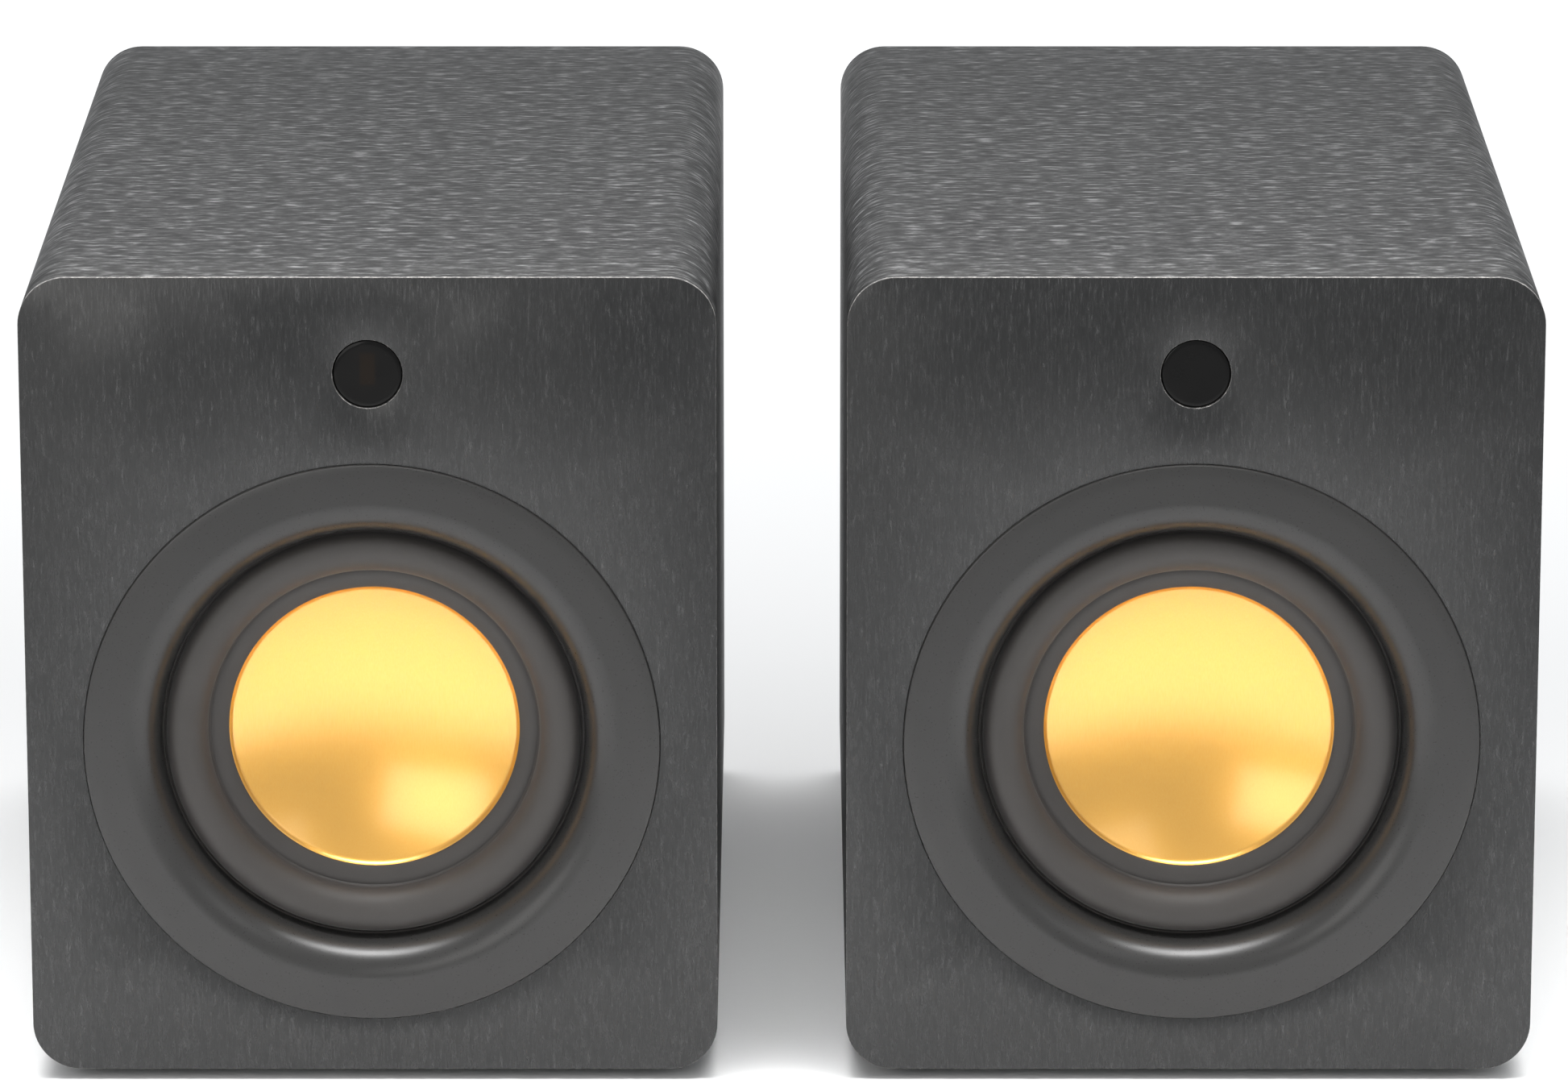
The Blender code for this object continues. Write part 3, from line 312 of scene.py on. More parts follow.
# ---------------------------------------------------------------- material tools
class Shade:
    """A node material with short calls for the nodes that it needs."""

    def __init__(self, name):
        self.material = bpy.data.materials.new(name)
        self.material.use_nodes = True
        self.tree = self.material.node_tree
        self.shader = self.tree.nodes["Principled BSDF"]

    def node(self, kind, **values):
        made = self.tree.nodes.new(kind)
        for key, value in values.items():
            if hasattr(made, key) and key not in made.inputs:
                setattr(made, key, value)
            else:
                made.inputs[key].default_value = value
        return made

    def link(self, source, target):
        self.tree.links.new(source, target)

    def fixed(self, **values):
        """Constant values on the shader's own sockets."""
        for key, value in values.items():
            socket = self.shader.inputs[key.replace("_", " ")]
            socket.default_value = (*value, 1) if isinstance(value, tuple) else value
        return self

    def place(self, scale, source="Object"):
        """Object or UV coordinates in metres, times a scale in repeats a metre."""
        where = self.node("ShaderNodeTexCoord")
        sized = self.node("ShaderNodeMapping")
        sized.inputs["Scale"].default_value = scale
        self.link(where.outputs[source], sized.inputs["Vector"])
        return sized.outputs["Vector"]

    def noise(self, scale, detail=3.0, roughness=0.55, source="Object", distortion=0.0):
        made = self.node("ShaderNodeTexNoise", Scale=1.0, Detail=detail)
        made.inputs["Roughness"].default_value = roughness
        made.inputs["Distortion"].default_value = distortion
        self.link(self.place(scale, source), made.inputs["Vector"])
        return made.outputs["Fac"]

    def spread(self, value, low, high, to_low=0.0, to_high=1.0):
        made = self.node("ShaderNodeMapRange")
        made.inputs["From Min"].default_value = low
        made.inputs["From Max"].default_value = high
        made.inputs["To Min"].default_value = to_low
        made.inputs["To Max"].default_value = to_high
        self.link(value, made.inputs["Value"])
        return made.outputs["Result"]

    def maths(self, operation, a, b):
        made = self.node("ShaderNodeMath", operation=operation)
        for socket, value in zip(made.inputs, (a, b)):
            if isinstance(value, (int, float)):
                socket.default_value = value
            else:
                self.link(value, socket)
        return made.outputs["Value"]

    def weighed(self, one, share, other, other_share):
        """The weighed sum of two values."""
        parts = (self.maths("MULTIPLY", one, share), self.maths("MULTIPLY", other, other_share))
        return self.maths("ADD", *parts)

    def ramp(self, value, stops):
        """A colour ramp from (position, colour) stops."""
        made = self.node("ShaderNodeValToRGB")
        elements = made.color_ramp.elements
        while len(elements) < len(stops):
            elements.new(0.5)
        for element, (position, colour) in zip(elements, stops):
            element.position = position
            element.color = (*colour, 1)
        self.link(value, made.inputs["Fac"])
        return made.outputs["Color"]

    def mix(self, factor, a, b):
        made = self.node("ShaderNodeMix", data_type="RGBA")
        self.link(factor, made.inputs["Factor"])
        for socket, value in ((made.inputs[6], a), (made.inputs[7], b)):
            if isinstance(value, tuple):
                socket.default_value = (*value, 1)
            else:
                self.link(value, socket)
        return made.outputs[2]

    def bump(self, height, distance, strength=1.0):
        made = self.node("ShaderNodeBump", Strength=strength, Distance=distance)
        self.link(height, made.inputs["Height"])
        self.link(made.outputs["Normal"], self.shader.inputs["Normal"])
        return made

    def colour(self, value):
        self.link(value, self.shader.inputs["Base Color"])

    def rough(self, value):
        self.link(value, self.shader.inputs["Roughness"])


def grey(value, warm=0.0):
    return (value * (1 + warm), value, value * (1 - warm))


def wrap_material():
    """The cabinet's wrap: strokes run round the box, so U is round it and V is depth."""
    shade = Shade("brushed_black_wrap")
    fine = shade.noise((240, 1350, 1), 3.0, 0.65, "UV")
    long = shade.noise((120, 680, 1), 2.0, 0.55, "UV")
    cloud = shade.noise((45, 60, 1), 2.0, 0.5, "UV")
    strokes = shade.weighed(fine, 0.62, long, 0.38)
    tone = shade.spread(strokes, 0.37, 0.65)
    colour = shade.ramp(
        tone,
        [(0.0, grey(0.001)), (0.35, grey(0.005)), (0.65, grey(0.038)), (1.0, grey(0.200))],
    )
    clouded = shade.mix(shade.spread(cloud, 0.3, 0.7, 0.0, 0.15), colour, grey(0.014))
    shade.colour(clouded)
    shade.rough(shade.spread(tone, 0, 1, 0.60, 0.42))
    shade.fixed(Specular_IOR_Level=0.33)
    shade.bump(strokes, 0.00016, 0.8)
    return shade.material


def fascia_material():
    """The front sheet: finer strokes that run up and down."""
    shade = Shade("brushed_black_front")
    fine = shade.noise((3200, 500, 400), 3.0, 0.65)
    long = shade.noise((1500, 300, 190), 2.0, 0.5)
    cloud = shade.noise((40, 40, 40), 2.0, 0.5)
    strokes = shade.weighed(fine, 0.78, long, 0.22)
    tone = shade.spread(strokes, 0.34, 0.66)
    colour = shade.ramp(
        tone,
        [(0.0, grey(0.001)), (0.35, grey(0.007)), (0.75, grey(0.014)), (1.0, grey(0.045))],
    )
    clouded = shade.mix(shade.spread(cloud, 0.3, 0.7, 0.0, 0.1), colour, grey(0.010))
    shade.colour(clouded)
    shade.rough(shade.spread(tone, 0, 1, 0.31, 0.25))
    shade.fixed(Specular_IOR_Level=0.61)
    shade.bump(strokes, 0.00005, 0.5)
    return shade.material


def sheet_edge_highlight_material():
    """The cut edge of the front sheet: scuffed, uneven and pale; the pale tone is a painted highlight, as of
    the bevelled edge catching the light.
    """
    shade = Shade("worn_sheet_edge_painted_highlight")
    scuff_and_highlight = shade.noise((900, 900, 900), 4.0, 0.7)
    # the ramp up to pale grey is painted highlight on the edge; the noise spread across it is the scuffs
    colour = shade.ramp(
        scuff_and_highlight, [(0.35, grey(0.05)), (0.52, grey(0.16, 0.04)), (0.68, grey(0.42, 0.05))]
    )
    shade.colour(colour)
    shade.fixed(Roughness=0.6)
    shade.bump(scuff_and_highlight, 0.00008, 0.6)
    return shade.material


def trim_material():
    shade = Shade("satin_anthracite_trim")
    fine = shade.noise((2600, 2600, 2600), 2.0, 0.5)
    patch = shade.noise((55, 55, 55), 2.0, 0.5)
    colour = shade.mix(patch, grey(0.022, 0.03), grey(0.027, 0.04))
    shade.colour(colour)
    shade.rough(shade.spread(fine, 0.3, 0.7, 0.27, 0.33))
    shade.fixed(Specular_IOR_Level=0.5)
    shade.bump(fine, 0.00001, 0.35)
    return shade.material


def rubber_material():
    """Matt butyl rubber with a brown cast and a fine dusty bloom."""
    shade = Shade("matt_dark_rubber")
    fine = shade.noise((3500, 3500, 3500), 3.0, 0.6)
    bloom = shade.noise((120, 120, 120), 3.0, 0.55)
    colour = shade.mix(bloom, (0.036, 0.032, 0.029), (0.047, 0.042, 0.039))
    dusty = shade.mix(shade.spread(fine, 0.55, 0.8, 0.0, 0.35), colour, (0.085, 0.080, 0.075))
    shade.colour(dusty)
    shade.rough(shade.spread(fine, 0.3, 0.7, 0.50, 0.62))
    shade.fixed(Sheen_Weight=0.12, Sheen_Roughness=0.5)
    shade.bump(fine, 0.00003, 0.5)
    return shade.material


def gold_material():
    """Satin gold: anodised metal, brushed very finely across one direction."""
    shade = Shade("satin_gold_cone")
    grain = shade.noise((5200, 5200, 420), 3.0, 0.65)
    speck = shade.noise((2400, 2400, 2400), 2.0, 0.6)
    colour = shade.mix(
        shade.spread(grain, 0.3, 0.7), (0.95, 0.465, 0.045), (0.97, 0.515, 0.062)
    )
    shade.colour(colour)
    shade.fixed(Metallic=1.0, Coat_Weight=1.0, Coat_Roughness=0.2, Coat_IOR=1.9)
    shade.rough(shade.spread(speck, 0.3, 0.7, 0.32, 0.40))
    shade.bump(grain, 0.000012, 0.4)
    return shade.material


def lens_material(name, receiver=None):
    """Smoked plastic with dust on it; given a receiver at (x, z), the faint shape of the receiver behind is
    painted into the lens colour, a painted view standing in for light through the lens.
    """
    shade = Shade(name)
    dust = shade.noise((2600, 2600, 2600), 2.0, 0.6)
    veil = shade.noise((140, 140, 140), 2.0, 0.5)
    specks = shade.spread(dust, 0.70, 0.78, 0.0, 0.5)
    colour = shade.mix(veil, grey(0.003), grey(0.007, 0.05))
    # painted view through the lens: a faint brownish rectangle where the receiver sits behind
    if receiver:
        where = shade.node("ShaderNodeTexCoord")
        parts = shade.node("ShaderNodeSeparateXYZ")
        shade.link(where.outputs["Object"], parts.inputs["Vector"])
        painted_receiver_masks = []
        for axis, centre, half in (("X", receiver[0], 0.0015), ("Z", receiver[1], 0.0033)):
            offset = shade.maths("SUBTRACT", parts.outputs[axis], centre)
            apart = shade.maths("ABSOLUTE", offset, 0)
            painted_receiver_masks.append(shade.spread(apart, half - 0.0003, half + 0.0003, 1.0, 0.0))
        shape = shade.maths("MULTIPLY", *painted_receiver_masks)
        colour = shade.mix(shape, colour, (0.0105, 0.0070, 0.0045))
    shade.colour(shade.mix(specks, colour, grey(0.10)))
    shade.rough(shade.spread(dust, 0.4, 0.8, 0.06, 0.14))
    shade.fixed(Specular_IOR_Level=0.16)
    return shade.material


def moulded(name, colour, roughness=0.45, grain=1500, depth=0.00003, spread=0.12):
    """Moulded plastic or paint with a fine texture and slight changes of tone."""
    shade = Shade(name)
    fine = shade.noise((grain, grain, grain), 3.0, 0.6)
    patch = shade.noise((90, 90, 90), 2.0, 0.5)
    low = tuple(c * (1 - spread) for c in colour)
    high = tuple(c * (1 + spread) for c in colour)
    shade.colour(shade.mix(patch, low, high))
    shade.rough(shade.spread(fine, 0.3, 0.7, roughness - 0.05, roughness + 0.06))
    shade.bump(fine, depth, 0.5)
    return shade.material


def metal(name, colour, roughness=0.3, scale=(300, 300, 2500), depth=0.000012):
    """Plated or machined metal with fine turned or drawn lines."""
    shade = Shade(name)
    lines = shade.noise(scale, 3.0, 0.6)
    patch = shade.noise((120, 120, 120), 2.0, 0.5)
    low = tuple(c * 0.9 for c in colour)
    shade.colour(shade.mix(patch, low, colour))
    shade.fixed(Metallic=1.0)
    shade.rough(shade.spread(lines, 0.3, 0.7, roughness - 0.06, roughness + 0.08))
    shade.bump(lines, depth, 0.4)
    return shade.material


def board_material(name="black_stained_board", light=0.030):
    """Fibreboard stained black: faint fibres and pits."""
    shade = Shade(name)
    fibre = shade.noise((900, 900, 900), 5.0, 0.7, distortion=0.6)
    patch = shade.noise((35, 35, 35), 2.0, 0.5)
    colour = shade.ramp(
        fibre, [(0.3, grey(light * 0.55)), (0.6, grey(light, 0.03)), (0.8, grey(light * 1.9, 0.05))]
    )
    shade.colour(shade.mix(shade.spread(patch, 0.3, 0.7, 0, 0.35), colour, grey(light * 0.9)))
    shade.fixed(Roughness=0.72)
    shade.bump(fibre, 0.00010, 0.5)
    return shade.material


def foam_material():
    shade = Shade("black_foam_pad")
    cells = shade.node("ShaderNodeTexVoronoi", Scale=1.0)
    shade.link(shade.place((2200, 2200, 2200)), cells.inputs["Vector"])
    shade.colour(shade.ramp(cells.outputs["Distance"], [(0.0, grey(0.006)), (0.7, grey(0.034))]))
    shade.fixed(Roughness=0.95)
    shade.bump(cells.outputs["Distance"], 0.00015, 0.7)
    return shade.material


def circuit_material():
    shade = Shade("green_circuit_board")
    cells = shade.node("ShaderNodeTexVoronoi", Scale=1.0, distance="CHEBYCHEV")
    shade.link(shade.place((260, 260, 260)), cells.inputs["Vector"])
    traces = shade.spread(cells.outputs["Distance"], 0.36, 0.40)
    shade.colour(shade.mix(traces, (0.010, 0.075, 0.028), (0.022, 0.14, 0.055)))
    shade.fixed(Roughness=0.35)
    shade.bump(traces, 0.00003, 0.4)
    return shade.material


def cloth_material():
    shade = Shade("spider_cloth")
    weave = shade.node("ShaderNodeTexWave", Scale=1.0, Distortion=0.4)
    shade.link(shade.place((700, 700, 700)), weave.inputs["Vector"])
    other = shade.noise((1800, 300, 1800), 2.0, 0.6)
    both = shade.maths("ADD", shade.maths("MULTIPLY", weave.outputs["Fac"], 0.5), other)
    shade.colour(shade.ramp(both, [(0.3, (0.26, 0.14, 0.035)), (0.9, (0.62, 0.40, 0.13))]))
    shade.fixed(Roughness=0.9)
    shade.bump(both, 0.0001, 0.6)
    return shade.material


def winding_material():
    """Yellow tape wound round a ring core, with the copper showing between the turns."""
    shade = Shade("taped_transformer")
    turns = shade.noise((900, 900, 120), 2.0, 0.5, distortion=0.3)
    shade.colour(shade.ramp(turns, [(0.35, (0.30, 0.20, 0.03)), (0.6, (0.58, 0.44, 0.09))]))
    shade.fixed(Roughness=0.38)
    shade.bump(turns, 0.0002, 0.5)
    return shade.material


WRAP = wrap_material()
FASCIA = fascia_material()
# pale sheet edge: painted highlight, with scuffs
EDGE = sheet_edge_highlight_material()
TRIM = trim_material()
RUBBER = rubber_material()
GOLD = gold_material()
LENS = {
    # the left window carries the painted view of the receiver behind it
    "left": lens_material("smoked_window_left", axis_of("remote_receiver")),
    "right": lens_material("smoked_window_right"),
}
BOARD = board_material()
FOAM = foam_material()
PORT = moulded("port_plastic", grey(0.020), 0.5)
BLACK = moulded("black_moulding", grey(0.018), 0.4, 1200)
KNOB = moulded("satin_black_knob", grey(0.020), 0.34, 2200, 0.00001)
PANEL = moulded("powder_coated_plate", grey(0.028), 0.5, 1700, 0.00006)
TERMINAL = moulded("terminal_plate_moulding", grey(0.024), 0.5, 1000, 0.00006)
BASKET = moulded("basket_moulding", grey(0.016), 0.42, 1200)
RED = moulded("red_moulding", (0.52, 0.012, 0.012), 0.28, 900, 0.00001, 0.05)
WHITE = moulded("white_moulding", (0.80, 0.79, 0.76), 0.3, 900, 0.00001, 0.03)
CLEAR = moulded("diffused_lamp", (0.72, 0.74, 0.76), 0.2, 900, 0.00001, 0.03)
EPOXY = moulded("dark_epoxy", (0.30, 0.17, 0.11), 0.3, 900, 0.00001, 0.1)
PLATED = metal("nickel_plate", (0.72, 0.70, 0.66), 0.2)
GOLD_PLATE = metal("gold_plate", (0.96, 0.72, 0.33), 0.2)
STEEL = metal("zinc_steel", (0.58, 0.58, 0.60), 0.36)
SCREW = metal("black_screw", (0.055, 0.055, 0.058), 0.38)
SINK = metal("plain_extrusion", (0.70, 0.71, 0.73), 0.34, (2500, 2500, 150))
COPPER = metal("enamelled_winding", (0.72, 0.30, 0.13), 0.3, (150, 6000, 150), 0.00005)
FERRITE = moulded("ferrite", grey(0.050), 0.7, 700, 0.00008)
CIRCUIT = circuit_material()
CLOTH = cloth_material()
WINDING = winding_material()


def finish_node(node, material):
    """Gives a kept CAD node its finished material."""
    made = frame["nodes"][node]
    made.data.materials.clear()
    made.data.materials.append(material)


# ---------------------------------------------------------------- cabinet
CORNER = 0.0098


def add_cabinet(side):
    """The wrapped sleeve: four walls in one ring, open at the front and back, with bare ends."""
    node = f"{side}_cabinet"
    low, high = cad(node)
    wall = 0.009
    outer = rounded_outline(low.x, high.x, low.z, high.z, CORNER, 14)
    outer = split_runs(outer, 0.012)
    inner_box = (low.x + wall, high.x - wall, low.z + wall, high.z - wall)
    edge = 0.00035
    y_front, y_back = low.y, high.y
    steps = 12

    def inward(point, distance):
        """A point moved towards the sleeve's inside along its own corner's radius."""
        x = min(max(point[0], low.x + CORNER), high.x - CORNER)
        z = min(max(point[1], low.z + CORNER), high.z - CORNER)
        dx, dz = point[0] - x, point[1] - z
        length = math.hypot(dx, dz) or 1.0
        return (point[0] - dx / length * distance, point[1] - dz / length * distance)

    def inside(point):
        x0, x1, z0, z1 = inner_box
        return (min(max(inward(point, wall)[0], x0), x1), min(max(inward(point, wall)[1], z0), z1))

    loops = [([inward(p, edge) for p in outer], y_front)]
    loops.append((outer, y_front + edge))
    for i in range(1, steps):
        loops.append((outer, y_front + edge + (y_back - y_front - 2 * edge) * i / steps))
    loops.append((outer, y_back - edge))
    loops.append(([inward(p, edge) for p in outer], y_back))
    loops.append(([inside(p) for p in outer], y_back))
    loops.append(([inside(p) for p in outer], y_front))
    n = len(outer)
    points = [(x, y, z) for ring, y in loops for x, z in ring]
    faces = []
    for j in range(len(loops)):
        k = (j + 1) % len(loops)
        for i in range(n):
            m = (i + 1) % n
            faces.append((j * n + i, j * n + m, k * n + m, k * n + i))
    mesh = mesh_from(node, points, faces)
    tidy(mesh)
    mesh.set_sharp_from_angle(angle=math.radians(50))
    lengths = [0.0]
    for a, b in zip(outer, outer[1:] + outer[:1]):
        lengths.append(lengths[-1] + math.dist(a, b))
    add_wrap_uv(mesh, n, lengths, 0.0 if side == "left" else 3.1)
    body = f"{side}_speaker"
    made = new_object(f"{side}_wrapped_cabinet", mesh, body, [node], WRAP)
    made.data.materials.append(BOARD)
    for polygon in mesh.polygons:
        if abs(polygon.normal.y) > 0.9:
            polygon.material_index = 1


def add_wrap_uv(mesh, n, lengths, offset):
    """U is the length round the section and V the depth, both in metres."""
    layer = mesh.uv_layers.new(name="wrap")
    for polygon in mesh.polygons:
        columns = [mesh.loops[i].vertex_index % n for i in polygon.loop_indices]
        wraps = max(columns) - min(columns) > 1
        for i, column in zip(polygon.loop_indices, columns):
            vertex = mesh.vertices[mesh.loops[i].vertex_index].co
            u = lengths[-1] if wraps and column == 0 else lengths[column]
            layer.data[i].uv = (u + offset, vertex.y)


# ---------------------------------------------------------------- front sheet
def add_fascia(side):
    """The front sheet with its two holes and a scuffed arris whose pale tone is a painted highlight."""
    node = f"{side}_front_fascia"
    low, high = cad(node)
    outline = rounded_outline(low.x, high.x, low.z, high.z, CORNER, 16)
    holes = [
        circle(*axis_of(f"{side}_trim_ring"), radius_of(f"{side}_trim_ring") + 0.00008, 224),
        circle(*axis_of(f"{side}_window_lens"), radius_of(f"{side}_window_lens") + 0.00022, 64),
    ]
    mesh = sheet_mesh(node, split_runs(outline, 0.006), holes, low.y, high.y, low.y, 0.00028)
    made = new_object(f"{side}_front_sheet", mesh, f"{side}_speaker", [node], FASCIA)
    # the bevelled edges take the pale edge material: a painted highlight with scuffs
    made.data.materials.append(EDGE)
    # the window hole's bevel gets the pale edge too: a painted highlight round the hole
    x, z = axis_of(f"{side}_window_lens")
    reach = radius_of(f"{side}_window_lens") + 0.0006
    for polygon in mesh.polygons:
        near = math.hypot(polygon.center.x - x, polygon.center.z - z) < reach
        if near and abs(polygon.normal.y) < 0.98:
            polygon.material_index = 1


# ---------------------------------------------------------------- driver
RING_LIP = 0.0430  # radius of the trim ring's inner edge
CONE_RIM_DEPTH = 0.0135  # of the cone's rim behind the front
CONE_RIM, CONE_DISH = 0.0293, 0.0080  # the cone's visible radius and its depth


def add_trim_ring(side):
    node = f"{side}_trim_ring"
    low, high = cad(node)
    x, z = axis_of(node)
    outer = radius_of(node)
    front, back = low.y, high.y
    width, depth = 0.0075, back - front
    wall = 0.0016
    centre = (RING_LIP + width, back)
    profile = [(outer - 0.00045, front), (outer - 0.0002, front + 0.00008), (outer, front + 0.0004)]
    profile.append((outer, front + wall))
    profile += arc(centre, width - wall, depth - wall, 270, 180, 20)
    profile += arc(centre, width, depth, 180, 270, 44)
    profile += [(centre[0] + 0.0025, front), (centre[0] + 0.005, front)]
    mesh = turned_mesh(node, profile, x, z, 224, sharp=40)
    new_object(f"{side}_trim", mesh, f"{side}_speaker", [node], TRIM)


def add_surround(side):
    """Flat outer flange with a bead, half roll, inner root groove and a sloping lip."""
    node = f"{side}_surround"
    x, z = axis_of(node)
    edge = radius_of(node)
    base = cad(f"{side}_trim_ring")[1].y + 0.0006
    outer, inner = RING_LIP - 0.0006, RING_LIP - 0.0094
    drop, height, sheet = 0.0021, 0.0043, 0.0003
    centre, half = (outer + inner) / 2, (outer - inner) / 2

    def roll(trim, lift):
        points = []
        for i in range(41):
            angle = math.pi * i / 40
            root = base + drop * (1 - math.cos(angle)) / 2
            y = root + lift - height * math.sin(angle) ** 0.85
            points.append((centre + (half - trim) * math.cos(angle), y))
        return points

    front_side = [(edge, base - sheet), (RING_LIP + 0.0003, base - sheet)]
    front_side += [(RING_LIP, base - 0.00055), (RING_LIP - 0.00025, base - 0.00055)]
    front_side += [(outer + 0.00015, base - 0.0001), *roll(0.0002, -sheet)]
    groove = base + drop
    front_side += [(inner - 0.00025, groove + 0.0001), (inner - 0.0007, groove)]
    front_side += [(inner - 0.0016, groove + 0.0002), (inner - 0.0037, groove + 0.0009)]
    front_side += [(inner - 0.00395, groove + 0.0012)]
    back_side = [(inner - 0.0039, groove + 0.0016), (inner - 0.0007, groove + 0.00062)]
    back_side += [*reversed(roll(0.0007, sheet)), (edge, base + sheet)]
    mesh = turned_mesh(node, front_side + back_side, x, z, 192, sharp=50)
    made = new_object(f"{side}_rubber_surround", mesh, None, [node], RUBBER)
    ride_flexing(made, side, x, z, inner, outer)


def ride_flexing(made, side, x, z, inner, outer):
    """A flexing ring: its outer edge stays with the cabinet and its inner edge moves."""
    depth = middle(f"{side}_cone").y
    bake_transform(made, f"{side}_speaker", f"{side}_cone_and_coil", (x, depth, z), (x, depth + 0.1, z))
    made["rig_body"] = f"{side}_speaker"
    weights = []
    for vertex in made.data.vertices:
        radius = math.hypot(vertex.co.x - x, vertex.co.z - z)
        weights.append(smooth_step((outer - radius) / (outer - inner)))
    layer = made.data.attributes["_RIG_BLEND"]
    layer.data.foreach_set("value", np.array(weights, np.float32))


def add_cone(side):
    """The dished cone in one curve, with its hidden sloping edge."""
    node = f"{side}_cone"
    x, z = axis_of(node)
    rim_y = FRONT + CONE_RIM_DEPTH
    sphere = (CONE_RIM**2 + CONE_DISH**2) / (2 * CONE_DISH)
    sheet, steps = 0.0005, 44
    front_side = [(0.0329, rim_y - 0.00225), (0.0306, rim_y - 0.0011)]
    front_side.append((CONE_RIM + 0.0001, rim_y - 0.00045))
    for i in range(steps + 1):
        radius = CONE_RIM * (1 - i / steps)
        sag = sphere - math.sqrt(sphere**2 - radius**2)
        front_side.append((radius, rim_y + CONE_DISH - sag - sheet / 2))
    back_side = [(r, y + sheet) for r, y in reversed(front_side)]
    mesh = turned_mesh(node, front_side + back_side, x, z, 160, sharp=40)
    new_object(f"{side}_gold_cone", mesh, f"{side}_cone_and_coil", [node], GOLD)


def add_window(side):
    node = f"{side}_window_lens"
    low, high = cad(node)
    x, z = axis_of(node)
    radius = radius_of(node)
    profile = [(0.0, low.y)]
    profile += [(radius * t, low.y) for t in (0.3, 0.6, 0.85)]
    profile += [(radius - 0.0003, low.y), (radius - 0.0001, low.y + 0.0001)]
    profile += [(radius, low.y + 0.0003), (radius, high.y), (0.0, high.y)]
    mesh = turned_mesh(node, profile, x, z, 96, closed=False)
    new_object(f"{side}_window", mesh, f"{side}_speaker", [node], LENS[side])


# ---------------------------------------------------------------- back of both speakers
PLATE_FACE = cad("amplifier_plate")[1].y


def rounded(profile, radius=0.0003, steps=3):
    """Rounds the convex corners of an open (radius, y) profile."""
    out = [profile[0]]
    for before, point, after in zip(profile, profile[1:], profile[2:]):
        one, two = Vector(before) - Vector(point), Vector(after) - Vector(point)
        cut = min(radius, one.length * 0.45, two.length * 0.45)
        start = Vector(point) + one.normalized() * cut
        end = Vector(point) + two.normalized() * cut
        for i in range(steps + 1):
            t = i / steps
            place = start * (1 - t) ** 2 + Vector(point) * 2 * t * (1 - t) + end * t**2
            out.append(tuple(place))
    out.append(profile[-1])
    return out


def add_port(side):
    """The port tube, its mouth flared in one smooth curve."""
    node = f"{side}_port_tube"
    low, high = cad(node)
    x, z = axis_of(node)
    flange, bore, wall, flare = radius_of(node), 0.0155, 0.0020, 0.0040
    plate_back = high.y - 0.0020
    mouth = arc((bore + flare, high.y - flare), flare, flare, 90, 180, 20)
    outside = rounded(
        [
            (bore, low.y),
            (bore + wall, low.y),
            (bore + wall, plate_back),
            (flange, plate_back),
            (flange, high.y),
            mouth[0],
        ],
        0.0004,
    )
    mesh = turned_mesh(node, outside + mouth[1:], x, z, 128)
    new_object(f"{side}_port", mesh, f"{side}_speaker", [node], PORT)


def plate_outline(node):
    low, high = cad(node)
    return split_runs(rounded_outline(low.x, high.x, low.z, high.z, 0.004, 10), 0.008)


def post_holes(side):
    return [
        circle(*axis_of(f"{side}_{colour}_post"), 0.0023, 24) for colour in ("red", "black")
    ]


def add_screw(name, x, z, body, turn):
    """A pan-head cross screw, its head on a rear plate."""
    head, height = 0.0027, 0.0014
    profile = [(0.0, PLATE_FACE + height)]
    profile += [(head * t, PLATE_FACE + height * (1 - 0.75 * t**3)) for t in (0.3, 0.6, 0.8, 0.95)]
    profile += [(head, PLATE_FACE + 0.0002), (head, PLATE_FACE), (0.0, PLATE_FACE)]
    mesh = turned_mesh(name, profile, x, z, 40, closed=False)
    made = new_object(name, mesh, body, (), SCREW)
    cutter = bmesh.new()
    for angle in (turn, turn + 90):
        place = Matrix.Translation((x, PLATE_FACE + height, z))
        place @= Matrix.Rotation(math.radians(angle), 4, "Y")
        size = Matrix.Diagonal((0.0030, 0.0018, 0.0006, 1))
        bmesh.ops.create_cube(cutter, size=1, matrix=place @ size)
    cut_with(made, cutter)


def cut_with(made, cutter):
    """Cuts a bmesh out of a piece with an exact Boolean, applied at once."""
    data = bpy.data.meshes.new("cutter")
    cutter.to_mesh(data)
    cutter.free()
    helper = bpy.data.objects.new("cutter", data)
    bpy.context.scene.collection.objects.link(helper)
    step = made.modifiers.new("cut", "BOOLEAN")
    step.operation = "DIFFERENCE"
    step.solver = "EXACT"
    step.use_self = True
    step.object = helper
    bpy.context.view_layer.update()
    result = bpy.data.meshes.new_from_object(
        made.evaluated_get(bpy.context.evaluated_depsgraph_get())
    )
    made.modifiers.clear()
    made.data = result
    bpy.data.objects.remove(helper)
    made.data.set_sharp_from_angle(angle=math.radians(35))


def add_plate_screws(node, body, places):
    low, high = cad(node)
    centre = middle(node)
    inset = 0.0048
    half_x, half_z = (high.x - low.x) / 2 - inset, (high.z - low.z) / 2 - inset
    for i, (right, up) in enumerate(places):
        x, z = centre.x + right * half_x, centre.z + up * half_z
        add_screw(f"{node}_screw_{i + 1}", x, z, body, 23 + 41 * i)


CORNERS = ((-1, -1), (1, -1), (1, 1), (-1, 1))


def add_terminal_plate():
    """The passive speaker's plate, its edges and holes bevelled."""
    node = "terminal_plate"
    low, high = cad(node)
    mesh = sheet_mesh(
        node, plate_outline(node), post_holes("right"), low.y, high.y, high.y, 0.0004
    )
    made = new_object("terminal_panel", mesh, "right_speaker", [node], TERMINAL)
    made.data.materials.append(TERMINAL)
    add_plate_screws(node, "right_speaker", CORNERS)


